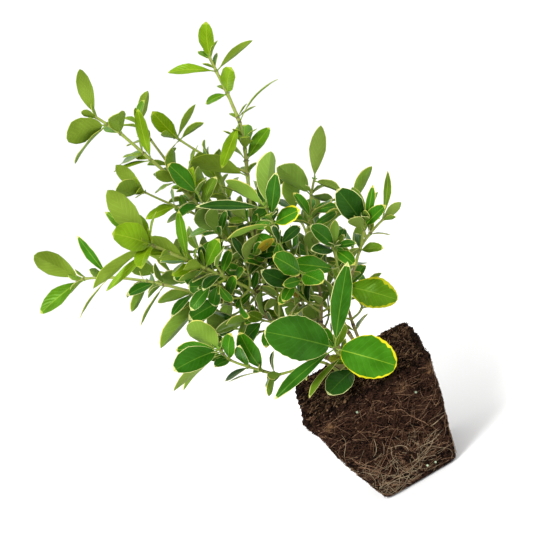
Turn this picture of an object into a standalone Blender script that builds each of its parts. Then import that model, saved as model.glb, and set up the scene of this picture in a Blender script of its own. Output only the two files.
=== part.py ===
"""A young variegated evergreen shrub, lifted out of its pot, standing on its square root ball.

The stems rise from flat cuts at ground level, which is the top of the root ball. Each bough is one tapering limb, and
each mass of foliage is one solid: a twig that carries side twigs and opposite pairs of leaves, each pair a quarter turn
round from the one below it.
"""

import math
import random

import bpy
from mathutils import Matrix, Vector
from mathutils.bvhtree import BVHTree

# Driving sizes, in millimetres
MM = 0.001
GAP = 0.3
BALL_TOP = 90
BALL_FOOT = 54
BALL_HEIGHT = 80
BALL_SIDES = 36
BALL_SQUARENESS = 8
BALL_LUMPS = 1.2
RIM_ROUNDING = 3
FOOT_ROUNDING = 3
LIMB_SIDES = 8
TWIG_SIDES = 3
LIMB_STEPS = 4
TWIG_STEPS = 2
ROOT_FLARE = 1.35
TWIG_TIP = 0.75
LEAF_THICKNESS = 0.8
LEAF_WIDTH = 0.42
LEAF_STALK = 0.12
FULLNESS = 1.12
FACING = 1.6
STALK_RADIUS = 0.6
LONG_LEAF = 27
SUNK = 1.2
CLEARANCE = 0.5
CLEAR_OF_TWIG = 0.25

# How a pair of leaves stands on its twig, in degrees
OPEN_AT_FOOT = 68
OPEN_AT_TIP = 42
QUARTER_TURN = 90

# Colours: base colour, roughness
PEAT = ((0.045, 0.026, 0.016), 0.95)
BROWN_BARK = ((0.20, 0.14, 0.07), 0.8)
GREEN_BARK = ((0.26, 0.33, 0.08), 0.6)
LIME_LEAF = ((0.22, 0.42, 0.03), 0.45)
GREEN_LEAF = ((0.06, 0.20, 0.02), 0.35)
EDGED_LEAF = ((0.10, 0.24, 0.04), 0.35)
OLIVE_LEAF = ((0.20, 0.28, 0.08), 0.5)

# The stems and boughs: what carries each, points along its axis, radius at its foot and at its tip, bark
LIMBS = {
    "main-stem": ("root-ball", [(-4, -2, 80), (-13, -8, 103), (-25, -8, 131), (-34, -6, 151), (-29, -1, 166),
                                (-18, 5, 184), (-8, 10, 207)], 2.5, 1.5, BROWN_BARK),
    "middle-stem": ("root-ball", [(3, 8, 80), (-5, 9, 104), (-6, 9, 117), (2, 6, 132), (7, 4, 146),
                                  (-1, -6, 155), (0, -21, 172)], 1.6, 1.2, BROWN_BARK),
    "right-stem": ("root-ball", [(10, 0, 80), (8, 0, 100), (10, 0, 119), (24, -4, 136), (35, -8, 146)],
                   1.6, 1.2, BROWN_BARK),
    "low-stem": ("root-ball", [(-7, -14, 80), (-16, -26, 106), (-32, -32, 112), (-44, -34, 116)],
                 1.3, 1.0, GREEN_BARK),
    "front-stem": ("root-ball", [(3, -22, 80), (0, -28, 90)], 1.6, 1.4, GREEN_BARK),
    "back-stem": ("root-ball", [(-3, 17, 80), (-6, 30, 112), (-18, 38, 146)], 1.7, 1.2, BROWN_BARK),
    "back-right-stem": ("root-ball", [(9, 13, 80), (14, 26, 108), (22, 36, 132)], 1.5, 1.1, BROWN_BARK),
    "left-bough": ("main-stem", [(-34, -6, 151), (-41, -13, 160), (-50, -18, 172)], 1.3, 1.2, GREEN_BARK),
    "lime-bough": ("main-stem", [(-31, -4, 159), (-33, -18, 173), (-46, -33, 198)], 1.3, 1.2, GREEN_BARK),
    "upper-bough": ("main-stem", [(-20, 4, 182), (-29, 0, 205), (-33, -5, 236)], 1.3, 1.2, GREEN_BARK),
    "tall-bough": ("middle-stem", [(7, 4, 145), (13, 7, 171), (26, 8, 187)], 1.1, 1.0, GREEN_BARK),
    "back-left-bough": ("main-stem", [(-34, -6, 149), (-42, 6, 160), (-50, 15, 171)], 1.2, 1.0, GREEN_BARK),
    "back-upper-bough": ("main-stem", [(-16, 6, 189), (-17, 20, 200), (-20, 32, 214)], 1.2, 1.0, GREEN_BARK),
}

# The foliage: what carries each mass, its leaf colour, and its twigs. A twig has points along its axis, its radius,
# the turn of its lowest pair out of the plane that faces the front, and its pairs from foot to tip. A pair says how
# far up its twig it stands and gives its two leaves. A leaf is a length, or where it goes its own way, its reach to
# the right, back and up, then how far its upper side is turned to the front, and its width.
FOLIAGE = {
    "top-foliage": ("main-stem", LIME_LEAF, [
        ([(-8, 10, 207), (6, 15, 235), (18, 15, 264), (22, 20, 300), (23, 20, 311)], 1.3, 0, [
            (0.10, 22, 18),
            (0.24, (-27, -8, 29, -1), 14),
            (0.33, (25, 5, 11, 1), (-7, 20, 16, -1)),
            (0.40, 26, 20),
            (0.46, 15, 12),
            (0.57, (-25, -20, -18, 2, 9), (36, 2, 11, 0, 5)),
            (0.60, 11, (14, 8, 0, 0, 5)),
            (0.75, (11, -10, 14, 1, 14), (-16, 6, 2, 1)),
            (0.90, (-28, 6, 16, 1, 8), (31, 8, 5, -1, 7)),
            (1.00, (10, -6, 21, 1, 11), 11)]),
        ([(4, 15, 234), (-12, 22, 254), (-24, 25, 277)], 1.0, 30, [
            (0.50, 17, 15),
            (0.94, (20, -7, 2, -1, 7), (-15, -11, -7, 0, 5)),
            (1.00, (-4, -11, 24, 1, 12), (22, 5, 13, -1, 6))])]),
    "upper-foliage": ("upper-bough", LIME_LEAF, [
        ([(-33, -5, 236), (-36, -10, 254), (-42, -14, 274), (-49, -20, 299), (-57, -20, 316)], 1.2, 0, [
            (0.04, (12, -10, 18, 1, 9), 15),
            (0.12, 16, (21, -14, 18, 0, 4)),
            (0.22, (-7, -12, 13, -1), 16),
            (0.47, (11, -12, 32, 1, 9), (-26, 12, 6, 0, 6)),
            (0.54, 14, (-20, 18, -5)),
            (0.77, (7, -15, 12, -1, 12), (-6, 23, 11, 1)),
            (0.89, (-25, -10, 6, -1, 18), (-28, 14, -8)),
            (1.00, (8, -6, 30, -1, 10), 12)]),
        ([(-33, -5, 239), (-33, 8, 250), (-37, 18, 266), (-40, 24, 298)], 1.0, 20, [
            (0.50, 15, 15),
            (0.80, (-17, 8, 5), 14),
            (0.93, 16, 14),
            (1.00, (16, 6, 16, -1, 9), (12, -10, 12, 1, 8))])]),
    "side-foliage": ("upper-bough", LIME_LEAF, [
        ([(-32, -3, 223), (-45, -10, 241), (-57, -22, 262)], 0.9, 60, [
            (0.25, (-17, 5, 1), 14),
            (0.45, (-20, -8, 4, 1, 7), 14),
            (0.94, 12, 10),
            (1.00, (-5, -4, 23, -1, 9), (-11, -16, 11, -1, 14))])]),
    "lime-foliage": ("lime-bough", LIME_LEAF, [
        ([(-46, -33, 198), (-60, -44, 222), (-67, -50, 234)], 1.2, 0, [
            (0.05, (18, -9, 13, 1, 11), (-9, -16, 10, -1)),
            (0.20, (-16, -6, 2, 1), 13),
            (0.35, (13, -12, 31, 1, 8), (-14, -14, 26, -1)),
            (0.65, 18, 16),
            (0.90, (-16, 10, 33, 0, 8), (-40, -2, -8, 1, 6)),
            (0.94, (14, -6, 17, 0, 4), (-10, -22, -6, 1, 12)),
            (0.97, (-3, 12, 21, 1, 14), (-15, -12, 20, 1, 18)),
            (1.00, (-3, -8, 42, -1, 15), (-41, -16, -3, -1, 12))])]),
    "left-foliage": ("left-bough", EDGED_LEAF, [
        ([(-50, -18, 172), (-65, -14, 188), (-88, -4, 208), (-109, 0, 223), (-126, 4, 231)], 1.2, 0, [
            (0.02, (-23, -12, 3, 2, 13), (-28, -4, -10, 0, 6)),
            (0.09, (-44, -12, -9, -1, 15), (6, 12, 16)),
            (0.14, 16, 18),
            (0.20, (-22, -14, 10, -1, 9), (-20, -14, -3, 1, 8)),
            (0.42, (-27, -6, -14, 0, 7), 16),
            (0.48, (-19, -8, 4, 1, 9), 18),
            (0.54, (-19, -6, -11, -1, 8), 18),
            (0.80, (-4, 6, 34, 1, 8), (-30, -8, -12, 0, 5)),
            (0.97, (-38, 14, -5, 1, 9), 10),
            (1.00, (-15, -14, 31, -1, 16), (-36, -2, -5, 1, 11))])]),
    "low-foliage": ("low-stem", EDGED_LEAF, [
        ([(-44, -34, 116), (-51, -36, 124), (-58, -38, 133), (-65, -40, 143), (-66, -42, 153)], 1.0, 0, [
            (0.05, (-10, -9, -8, -2, 6), 16),
            (0.22, (1, -7, 32, 1, 14), (-22, -8, 8, 0, 5)),
            (0.45, (4, -14, 19, 1, 10), 18),
            (0.75, (11, -9, 17, 1, 11), (-9, -11, 4, 1, 8)),
            (0.90, (3, 8, 11, 1), (-37, 14, -11, -1, 9)),
            (0.95, (-10, 4, 25, -1, 17), (-40, 2, -7, -1, 10)),
            (1.00, (-29, -18, 8, 1, 18), (-26, 12, 12, 1, 10))])]),
    "front-foliage": ("middle-stem", OLIVE_LEAF, [
        ([(0, -21, 172), (0, -30, 186), (3, -38, 199), (6, -47, 217)], 1.1, 0, [
            (0.35, (-4, -13, 17, 1, 8), (17, 6, 3, 1, 8)),
            (0.45, (-6, 12, -15, 1, 8), 14),
            (0.70, (-28, -14, 9, -1, 7), (19, -12, 1, 1, 12)),
            (0.78, (18, -16, 25, 1, 10), 14),
            (0.95, (-13, 6, 27, -1, 10), (-35, -16, 25, 1, 7)),
            (1.00, (20, -6, 28, -1, 15), 16)])]),
    "inner-front-foliage": ("middle-stem", EDGED_LEAF, [
        ([(-1, -6, 155), (-6, -13, 158)], 0.9, 0, [
            (0.60, (-17, -12, -4, 1, 8), 14),
            (1.00, (-13, -20, 23, 1, 13), (-12, -12, -4, 1, 8))])]),
    "tall-foliage": ("tall-bough", OLIVE_LEAF, [
        ([(26, 8, 187), (33, 8, 198), (41, 8, 207)], 1.0, 90, [
            (0.10, (18, 6, -7, 1, 9), 15),
            (0.55, (-8, -16, 30, -1, 17), (11, 12, -13, -1, 8)),
            (1.00, (22, -8, 30, -1, 11), (12, -14, -13, -1, 11))])]),
    "right-foliage": ("right-stem", EDGED_LEAF, [
        ([(35, -8, 146), (45, -10, 156), (60, -10, 162), (66, -8, 163)], 1.1, 90, [
            (0.28, (14, -8, -5, 1, 8), 16),
            (0.62, 14, 12),
            (1.00, (20, 8, 25, 1, 6), (17, 4, 3, -1, 7))]),
        ([(45, -10, 156), (52, -18, 167), (56, -20, 171)], 1.0, 90, [
            (0.60, (-3, -20, 15, -1, 10), 15),
            (0.75, (-3, -5, 31, 2, 17), (18, -16, 8, 1, 10)),
            (0.93, (17, 14, 10, -1, 8), 16),
            (1.00, (15, -10, 20, 1, 6), (8, 10, 20, -1, 9))]),
        ([(50, -10, 158), (53, -2, 169), (54, 4, 180)], 0.9, 90, [
            (0.60, 14, 14),
            (1.00, (24, 2, 16, -1, 10), 15)])]),
    "middle-foliage": ("right-stem", EDGED_LEAF, [
        ([(21, -3, 133), (24, -14, 152), (30, -20, 167)], 1.0, 90, [
            (0.12, (26, -19, -22, 1, 17), 18),
            (0.50, (-24, -20, 24, 1, 13), 14),
            (0.90, (-13, -22, 13, 1, 9), (6, -16, -11, 1, 9)),
            (0.95, (9, -10, 18, -1, 7), (12, 10, 6, 1, 7)),
            (1.00, (-7, -14, 23, 1, 12), (13, -10, -3, 1, 6))])]),
    "front-rosette": ("front-stem", GREEN_LEAF, [
        ([(0, -28, 90), (-2, -34, 101), (-4, -39, 111), (-3, -40, 115)], 1.4, 0, [
            (0.05, (-22, -20, 1, 1, 14), (24, 4, -3, 1, 9)),
            (0.30, (-12, -10, -9, -1, 5), 12),
            (0.62, (-30, -20, -6, 0, 8), 9),
            (0.88, (13, 14, 9, 1, 9), (-1, 18, 12, 1, 8)),
            (0.94, (28, -22, -23, 2, 28), (-49, -12, -5, 1, 10)),
            (1.00, (35, -12, 47, 1, 13), (-31, -20, 38, 2, 28))])]),
    "inner-foliage": ("middle-stem", OLIVE_LEAF, [
        ([(2, 6, 131), (-9, 2, 143), (-20, 0, 150), (-26, -6, 164), (-31, -12, 179)], 0.9, 45, [
            (0.22, 20, 18),
            (0.45, (-11, -15, 4, -1, 8), 18),
            (0.74, (-7, -12, -14, -1, 12), (-11, 7, -16, 1, 8)),
            (0.97, (-8, 0, 16, 1, 9), (-23, 6, -2, 1, 8)),
            (1.00, (-18, 10, 11, -1, 8), 12)])]),
    "node-foliage": ("main-stem", EDGED_LEAF, [
        ([(-22, 5, 177), (-19, -3, 184), (-18, -9, 188)], 0.9, 0, [
            (0.35, (19, 2, -11, 1, 8), 14),
            (0.55, (19, 9, -3, 1, 9), (-12, -10, -4, -1, 8)),
            (0.75, (18, -13, -4, 1, 9), (-15, 5, 5, -1, 5)),
            (1.00, (17, -7, 3, 1, 6), (-14, -10, 8, -1, 7))])]),
    "foot-foliage": ("main-stem", OLIVE_LEAF, [
        ([(-26, -8, 133), (-29, -14, 141), (-35, -18, 148), (-38, -22, 153)], 0.9, 0, [
            (0.45, (-8, 12, -20, 1, 10), (-12, -12, -9, 1, 9)),
            (0.75, (-20, 7, -8, 1, 12), (-5, -13, 13, 1, 9)),
            (0.92, (-3, -4, 10, 1, 5), 10),
            (1.00, (-18, -12, 10, -1, 8), (-28, -6, 8, -1, 9))])]),
    "bough-foliage": ("lime-bough", EDGED_LEAF, [
        ([(-41, -26, 188), (-46, -33, 187), (-50, -37, 190)], 0.9, 0, [
            (0.50, (-13, 10, -9, 1, 9), (-2, 8, -15, 1, 7)),
            (1.00, (-19, -6, -6, 1, 9), (-14, 4, 6, 1, 10))])]),
    "heart-foliage": ("upper-bough", EDGED_LEAF, [
        ([(-29, 0, 204), (-32, -5, 212)], 0.9, 0, [
            (0.20, (-20, -11, 0, 1, 9), (-14, -13, -9, 1, 9)),
            (0.60, (12, 2, 12, 1, 6), (4, -9, 6, 1, 6)),
            (1.00, (-2, -11, 21, -1, 14), (6, -13, 18, -1, 11))])]),
    "stem-foliage": ("main-stem", OLIVE_LEAF, [
        ([(-13, 8, 196), (-11, 4, 204), (-11, 1, 208)], 0.9, 0, [
            (0.30, (-8, -17, 5, 1, 9), (16, -5, -1, 1, 9)),
            (0.65, (15, 8, 0, 1, 10), 14),
            (1.00, (-3, -10, 18, -1, 9), 14)])]),
    "back-foliage": ("back-stem", GREEN_LEAF, [
        ([(-18, 38, 146), (-26, 48, 172), (-32, 56, 200)], 1.1, 10, [
            (0.15, 24, 20), (0.40, 28, 26), (0.65, 30, 28), (0.85, 26, 24), (1.00, 24, 22)]),
        ([(-22, 43, 160), (-45, 50, 182), (-54, 52, 198)], 0.9, 40, [
            (0.45, 24, 22), (0.72, 26, 24), (1.00, 24, 22)])]),
    "back-right-foliage": ("back-right-stem", GREEN_LEAF, [
        ([(22, 36, 132), (28, 46, 152), (30, 54, 174)], 1.0, 20, [
            (0.20, 24, 22), (0.50, 28, 24), (0.80, 26, 26), (1.00, 24, 20)])]),
    "back-left-foliage": ("back-left-bough", GREEN_LEAF, [
        ([(-50, 15, 171), (-66, 26, 188), (-84, 34, 204)], 1.0, 0, [
            (0.20, 22, 20), (0.50, 26, 24), (0.80, 24, 22), (1.00, 22, 22)])]),
    "back-upper-foliage": ("back-upper-bough", LIME_LEAF, [
        ([(-20, 32, 214), (-22, 42, 232), (-26, 48, 250)], 0.9, 30, [
            (0.40, 20, 18), (0.80, 20, 18), (1.00, 18, 16)])]),
    "back-low-foliage": ("back-stem", GREEN_LEAF, [
        ([(-5, 27, 104), (-10, 44, 112)], 0.9, 0, [
            (0.60, 24, 22), (1.00, 26, 24)])]),
}

# What a leaf tries, one after another, where it would touch something: turn about its twig, lift, share of its length
TRIES = [(turn, lift, share) for share in (1, 0.85, 0.7) for lift in (0, 12, -12, 25) for turn in (0, 12, -12, 25, -25)]


def start_afresh():
    """Removes what the scene holds."""
    for thing in list(bpy.data.objects):
        bpy.data.objects.remove(thing)


def material(name, look):
    """A plain finish of one colour and roughness."""
    colour, roughness = look
    finish = bpy.data.materials.new(name)
    finish.use_nodes = True
    shader = finish.node_tree.nodes["Principled BSDF"]
    shader.inputs["Base Color"].default_value = (*colour, 1)
    shader.inputs["Roughness"].default_value = roughness
    shader.inputs["Metallic"].default_value = 0
    return finish


def add_object(name, shape):
    """An object with the mesh of a shape, which is a pair of points in millimetres and faces."""
    points, faces = shape
    mesh = bpy.data.meshes.new(name)
    mesh.from_pydata([p * MM for p in points], [], faces)
    thing = bpy.data.objects.new(name, mesh)
    bpy.context.scene.collection.objects.link(thing)
    return thing


def rotated(vector, axis, degrees):
    return Matrix.Rotation(math.radians(degrees), 3, axis) @ vector


def square_to(vector, axis):
    """The part of a vector that is square to an axis, at length one."""
    return (vector - axis * vector.dot(axis)).normalized()


def smooth(points, steps):
    """A smooth line through the points, with some steps from each to the next."""
    points = [Vector(p) for p in points]
    ends = [2 * points[0] - points[1], *points, 2 * points[-1] - points[-2]]
    line = []
    for before, here, there, after in zip(ends, ends[1:], ends[2:], ends[3:]):
        for step in range(steps):
            t = step / steps
            line.append(0.5 * (2 * here + (there - before) * t
                               + (2 * before - 5 * here + 4 * there - after) * t * t
                               + (3 * here - before - 3 * there + after) * t ** 3))
    return [*line, points[-1]]


class Axis:
    """The axis of a limb or twig, with its radius all along."""

    def __init__(self, line, foot_radius, tip_radius, foot_direction=None):
        self.line = line
        self.lengths = [0]
        for a, b in zip(line, line[1:]):
            self.lengths.append(self.lengths[-1] + (b - a).length)
        self.foot_radius = foot_radius
        self.tip_radius = tip_radius
        self.foot_direction = foot_direction

    def at(self, share):
        """The point, direction and radius at a share of the way up."""
        aim = share * self.lengths[-1]
        span = max(i for i in range(len(self.line) - 1) if self.lengths[i] <= aim or i == 0)
        a, b = self.line[span], self.line[span + 1]
        point = a.lerp(b, (aim - self.lengths[span]) / (b - a).length)
        return point, (b - a).normalized(), self.foot_radius + (self.tip_radius - self.foot_radius) * share

    def nearest(self, point):
        """The share of the way up at which the axis comes nearest to a point."""
        return min((i / 200 for i in range(201)), key=lambda share: (self.at(share)[0] - point).length)


def tube(axis, sides, flare=1.0):
    """A tapering tube along an axis, with flat ends."""
    points, count = [], len(axis.line)
    side = None
    for i, centre in enumerate(axis.line):
        ahead = axis.line[min(i + 1, count - 1)] - axis.line[max(i - 1, 0)]
        if i == 0 and axis.foot_direction:
            ahead = axis.foot_direction
        ahead = ahead.normalized()
        side = square_to(side or (Vector((1, 0, 0)) if abs(ahead.x) < 0.9 else Vector((0, 1, 0))), ahead)
        share = axis.lengths[i] / axis.lengths[-1]
        radius = axis.foot_radius + (axis.tip_radius - axis.foot_radius) * share
        if i == 0:
            radius *= flare
        points += [centre + rotated(side, ahead, 360 * k / sides) * radius for k in range(sides)]
    faces = [tuple(range(sides))[::-1], tuple(range((count - 1) * sides, count * sides))]
    for i in range(count - 1):
        for k in range(sides):
            a, b = i * sides + k, i * sides + (k + 1) % sides
            faces.append((a, b, b + sides, a + sides))
    return points, faces


def blade_share(u, fullness=0.75, lean=1.15):
    """How wide a blade is at a share of its length, against its greatest width."""
    return math.sin(math.pi * min(max(u, 0), 1) ** lean) ** fullness if 0 < u < 1 else 0


class Leaf:
    """A leaf: where it stands, its reach, the way its upper side faces, and how it bends and folds."""

    def __init__(self, base, reach, face, width, bend, fold):
        self.base = base
        self.length = reach.length
        self.ahead = reach.normalized()
        self.face = square_to(face, self.ahead)
        self.width = width
        self.bend = math.radians(bend)
        self.fold = math.radians(fold)

    def frame(self, t):
        """The midrib's point, and the directions out to the side and up from the blade, at a share of its length."""
        point = self.base + self.ahead * self.length * t + self.face * self.length * self.bend / 2 * t * (1 - t)
        up = (self.face - self.ahead * self.bend / 2 * (1 - 2 * t)).normalized()
        return point, up.cross(self.ahead).normalized(), up

    def solid(self, start=0.0, grow=0.0):
        """A closed lens-shaped blade on its stalk, from a share of its length on, thickened all round by grow."""
        cuts = (0.3, 0.65, 0.9) if self.length > LONG_LEAF else (0.35, 0.8)
        stations = [(t, 0) for t in (0, LEAF_STALK) if t >= start]
        stations += [(LEAF_STALK + (1 - LEAF_STALK) * u, blade_share(u)) for u in cuts]
        points = []
        for t, share in stations:
            centre, side, up = self.frame(t)
            half = max(share * FULLNESS * self.width / 2, STALK_RADIUS) + grow
            out = side * half * math.cos(self.fold)
            lift = up * half * math.sin(self.fold) * (share > 0)
            thick = LEAF_THICKNESS / 2 if share else STALK_RADIUS
            points += [centre - out + lift, centre - up * (thick + grow), centre + out + lift,
                       centre + up * (thick + grow)]
        tip = self.frame(1)[0] + self.ahead * grow
        faces = [(3, 2, 1, 0)]
        for i in range(len(stations) - 1):
            for k in range(4):
                a, b = 4 * i + k, 4 * i + (k + 1) % 4
                faces.append((a, b, b + 4, a + 4))
        last = 4 * (len(stations) - 1)
        faces += [(last + k, last + (k + 1) % 4, len(points)) for k in range(4)]
        return [*points, tip], faces


def tree_of(shape):
    points, faces = shape
    return BVHTree.FromPolygons(points, faces), bounds(points)


def bounds(points):
    low = Vector([min(p[i] for p in points) for i in range(3)])
    high = Vector([max(p[i] for p in points) for i in range(3)])
    return low, high


def touch(one, other):
    """Whether two shapes, each a search tree with its bounds, cross."""
    (tree_a, (low_a, high_a)), (tree_b, (low_b, high_b)) = one, other
    if any(low_a[i] > high_b[i] or low_b[i] > high_a[i] for i in range(3)):
        return False
    return bool(tree_a.overlap(tree_b))


def seat_on(parent, first, ahead_point, radius):
    """Where a limb's foot stands on its parent: end to end at the parent's tip, and else on its side."""
    share = parent.nearest(first)
    centre, direction, parent_radius = parent.at(share)
    if share > 0.99:
        return centre + direction * GAP, direction
    ahead = (ahead_point - centre).normalized()
    out = square_to(ahead, direction)
    return centre + out * (parent_radius + GAP + radius * abs(ahead.dot(direction))), ahead


def grow_limbs():
    """The axes of the stems and boughs, by name."""
    axes = {}
    for name, (carrier, points, foot, tip, _) in LIMBS.items():
        line = smooth(points, LIMB_STEPS)
        if carrier == "root-ball":
            line[0] = Vector((*line[0].xy, BALL_HEIGHT + GAP))
            axes[name] = Axis(line, foot, tip, Vector((0, 0, 1)))
            continue
        line[0], direction = seat_on(axes[carrier], line[0], line[2], foot)
        axes[name] = Axis(line, foot, tip, direction)
    return axes


def grow_twigs(limbs):
    """The axes of each mass's twigs: the first stands on its limb, the rest start inside the first."""
    masses = {}
    for name, (carrier, _, twigs) in FOLIAGE.items():
        axes = []
        for points, radius, _, _ in twigs:
            line = smooth(points, TWIG_STEPS)
            direction = None
            if not axes:
                line[0], direction = seat_on(limbs[carrier], line[0], line[1], radius)
            else:
                line[0] = axes[0].at(axes[0].nearest(line[0]))[0]
            axes.append(Axis(line, radius, radius * TWIG_TIP, direction))
        masses[name] = axes
    return masses


def rule_leaf(axis, share, turn, length, chance):
    """A leaf of the given length that stands on its twig by the rule of opposite pairs: its reach and its face."""
    _, direction, _ = axis.at(share)
    sideways = direction.cross(Vector((0, 1, 0)))
    sideways = square_to(sideways if sideways.length > 0.1 else Vector((1, 0, 0)), direction)
    sideways = rotated(sideways, direction, turn + chance.uniform(-12, 12))
    opening = math.radians(OPEN_AT_FOOT + (OPEN_AT_TIP - OPEN_AT_FOOT) * share + chance.uniform(-8, 8))
    reach = (direction * math.cos(opening) + sideways * math.sin(opening)) * length
    return reach, direction * math.sin(opening) - sideways * math.cos(opening)


def place_leaves(twigs):
    """All the leaves, by mass. Those with a reach of their own come first, then those that follow the rule.

    A solid is its name, its shape, and its shape clear of the twig, which is what its own mass keeps off.
    """
    wood = [(name, tube(axis, TWIG_SIDES)) for name, axes in twigs.items() for axis in axes]
    wood += [(name, tube(axis, LIMB_SIDES)) for name, axis in grow_limbs().items()]
    solids = [(name, tree_of(shape), tree_of(shape)) for name, shape in [*wood, ("root-ball", root_ball_shape())]]
    leaves = {name: [] for name in twigs}
    for by_rule in (False, True):
        for name, (_, _, shoots) in FOLIAGE.items():
            for number, (axis, (_, _, turn, pairs)) in enumerate(zip(twigs[name], shoots)):
                for place, (share, *pair) in enumerate(pairs):
                    for half, given in enumerate(pair):
                        if isinstance(given, tuple) == by_rule:
                            continue
                        chance = random.Random(f"{name} {number} {place} {half}")
                        leaf = fit_leaf(name, axis, share, turn + QUARTER_TURN * (place + 2 * half), given,
                                        chance, solids)
                        if leaf:
                            leaves[name].append(leaf)
    return leaves


def fit_leaf(name, axis, share, turn, given, chance, solids):
    """The first way of standing in which a leaf touches nothing, or None. The leaf then joins the solids."""
    centre, direction, _ = axis.at(share)
    base = centre - direction * SUNK * (share > 0.95)
    if isinstance(given, tuple):
        reach = Vector(given[:3])
        front = given[3] if len(given) > 3 else 0
        face = direction + Vector((0, -front * FACING, 0.4))
        width = given[4] if len(given) > 4 else reach.length * LEAF_WIDTH * chance.uniform(0.85, 1.1)
    else:
        reach, face = rule_leaf(axis, share, turn, given, chance)
        width = given * LEAF_WIDTH * chance.uniform(0.85, 1.25)
    bend, fold = chance.uniform(10, 50), chance.uniform(5, 25)
    for spin, lift, size in TRIES:
        hinge = reach.cross(direction).normalized()
        trial = rotated(rotated(reach, direction, spin), hinge, lift) * size
        upper = rotated(rotated(face, direction, spin), hinge, lift)
        leaf = Leaf(base, trial, upper, width * size, bend, fold)
        whole = tree_of(leaf.solid(grow=CLEARANCE))
        blade = tree_of(leaf.solid(start=CLEAR_OF_TWIG, grow=CLEARANCE))
        if not any(touch(blade, clear) if other == name else touch(whole, full) for other, full, clear in solids):
            solids.append((name, tree_of(leaf.solid()), tree_of(leaf.solid(start=CLEAR_OF_TWIG))))
            return leaf
    return None


def root_ball_shape():
    """A square block of peat that narrows to its foot, with round corners, a flat top and a flat underside."""
    levels = [(0, BALL_FOOT / 2 - FOOT_ROUNDING), (FOOT_ROUNDING, BALL_FOOT / 2 + 1)]
    levels += [(z, BALL_FOOT / 2 + (BALL_TOP - BALL_FOOT) / 2 * (z / BALL_HEIGHT) ** 0.85)
               for z in (BALL_HEIGHT * 0.3, BALL_HEIGHT * 0.6)]
    levels += [(BALL_HEIGHT - RIM_ROUNDING, BALL_TOP / 2), (BALL_HEIGHT, BALL_TOP / 2 - RIM_ROUNDING)]
    points = []
    for z, half in levels:
        for k in range(BALL_SIDES):
            turn = 2 * math.pi * k / BALL_SIDES
            across, along = math.cos(turn), math.sin(turn)
            lump = BALL_LUMPS * math.sin(3 * turn + z / 17) * math.sin(math.pi * z / BALL_HEIGHT)
            size = half + lump
            points.append(Vector((size * math.copysign(abs(across) ** (2 / BALL_SQUARENESS), across),
                                  size * math.copysign(abs(along) ** (2 / BALL_SQUARENESS), along), z)))
    count = len(levels)
    faces = [tuple(range(BALL_SIDES))[::-1], tuple(range((count - 1) * BALL_SIDES, count * BALL_SIDES))]
    for i in range(count - 1):
        for k in range(BALL_SIDES):
            a, b = i * BALL_SIDES + k, i * BALL_SIDES + (k + 1) % BALL_SIDES
            faces.append((a, b, b + BALL_SIDES, a + BALL_SIDES))
    return points, faces


def fuse(name, shapes):
    """Joins a twig and all that grows on it into one closed solid."""
    whole = add_object(name, shapes[0])
    growth = bpy.data.collections.new(f"{name}-growth")
    bpy.context.scene.collection.children.link(growth)
    for number, shape in enumerate(shapes[1:]):
        part = add_object(f"{name}-{number}", shape)
        bpy.context.scene.collection.objects.unlink(part)
        growth.objects.link(part)
    union = whole.modifiers.new("union", "BOOLEAN")
    union.operation = "UNION"
    union.operand_type = "COLLECTION"
    union.collection = growth
    union.solver = "MANIFOLD"
    with bpy.context.temp_override(object=whole, active_object=whole):
        bpy.ops.object.modifier_apply(modifier=union.name)
    for part in list(growth.objects):
        bpy.data.objects.remove(part)
    bpy.data.collections.remove(growth)
    whole.data.materials.clear()
    return whole


def main():
    start_afresh()
    ball = add_object("root-ball", root_ball_shape())
    ball.data.materials.append(material("peat", PEAT))
    limbs = grow_limbs()
    for name, axis in limbs.items():
        carrier, *_, bark = LIMBS[name]
        limb = add_object(name, tube(axis, LIMB_SIDES, ROOT_FLARE if carrier == "root-ball" else 1))
        limb.data.materials.append(material(f"{name}-bark", bark))
    twigs = grow_twigs(limbs)
    leaves = place_leaves(twigs)
    for name, axes in twigs.items():
        shapes = [tube(axis, TWIG_SIDES) for axis in axes]
        mass = fuse(name, shapes + [leaf.solid() for leaf in leaves[name]])
        mass.data.materials.append(material(f"{name}-leaf", FOLIAGE[name][1]))


main()
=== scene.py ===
"""The looks of a young variegated evergreen shrub on its square root ball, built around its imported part.

The limbs, twigs and leaves stand where the part's own rule puts them. They carry on to finer shoots, buds
and rootlets.
"""

import math
import random

import bpy
from mathutils import Matrix, Vector, noise
from mathutils.bvhtree import BVHTree

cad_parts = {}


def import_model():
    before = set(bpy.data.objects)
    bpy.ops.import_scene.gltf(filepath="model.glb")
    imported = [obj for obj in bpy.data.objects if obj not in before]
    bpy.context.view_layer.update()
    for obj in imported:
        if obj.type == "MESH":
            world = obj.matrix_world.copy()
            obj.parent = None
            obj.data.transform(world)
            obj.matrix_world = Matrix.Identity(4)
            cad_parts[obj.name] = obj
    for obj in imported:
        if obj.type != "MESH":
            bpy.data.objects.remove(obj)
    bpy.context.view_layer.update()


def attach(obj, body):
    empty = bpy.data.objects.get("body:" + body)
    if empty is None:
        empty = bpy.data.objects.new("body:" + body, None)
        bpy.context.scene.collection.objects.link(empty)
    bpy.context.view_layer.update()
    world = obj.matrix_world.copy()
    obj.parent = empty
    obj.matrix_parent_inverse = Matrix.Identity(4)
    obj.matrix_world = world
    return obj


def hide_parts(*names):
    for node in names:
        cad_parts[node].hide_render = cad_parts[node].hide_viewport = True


# Sizes of the part, in millimetres, as its source gives them
MM = 0.001
GAP = 0.3
BALL_TOP = 90
BALL_FOOT = 54
BALL_HEIGHT = 80
BALL_SIDES = 36
BALL_SQUARENESS = 8
BALL_LUMPS = 1.2
RIM_ROUNDING = 3
FOOT_ROUNDING = 3
LIMB_SIDES = 8
TWIG_SIDES = 3
LIMB_STEPS = 4
TWIG_STEPS = 2
ROOT_FLARE = 1.35
TWIG_TIP = 0.75
LEAF_THICKNESS = 0.8
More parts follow.
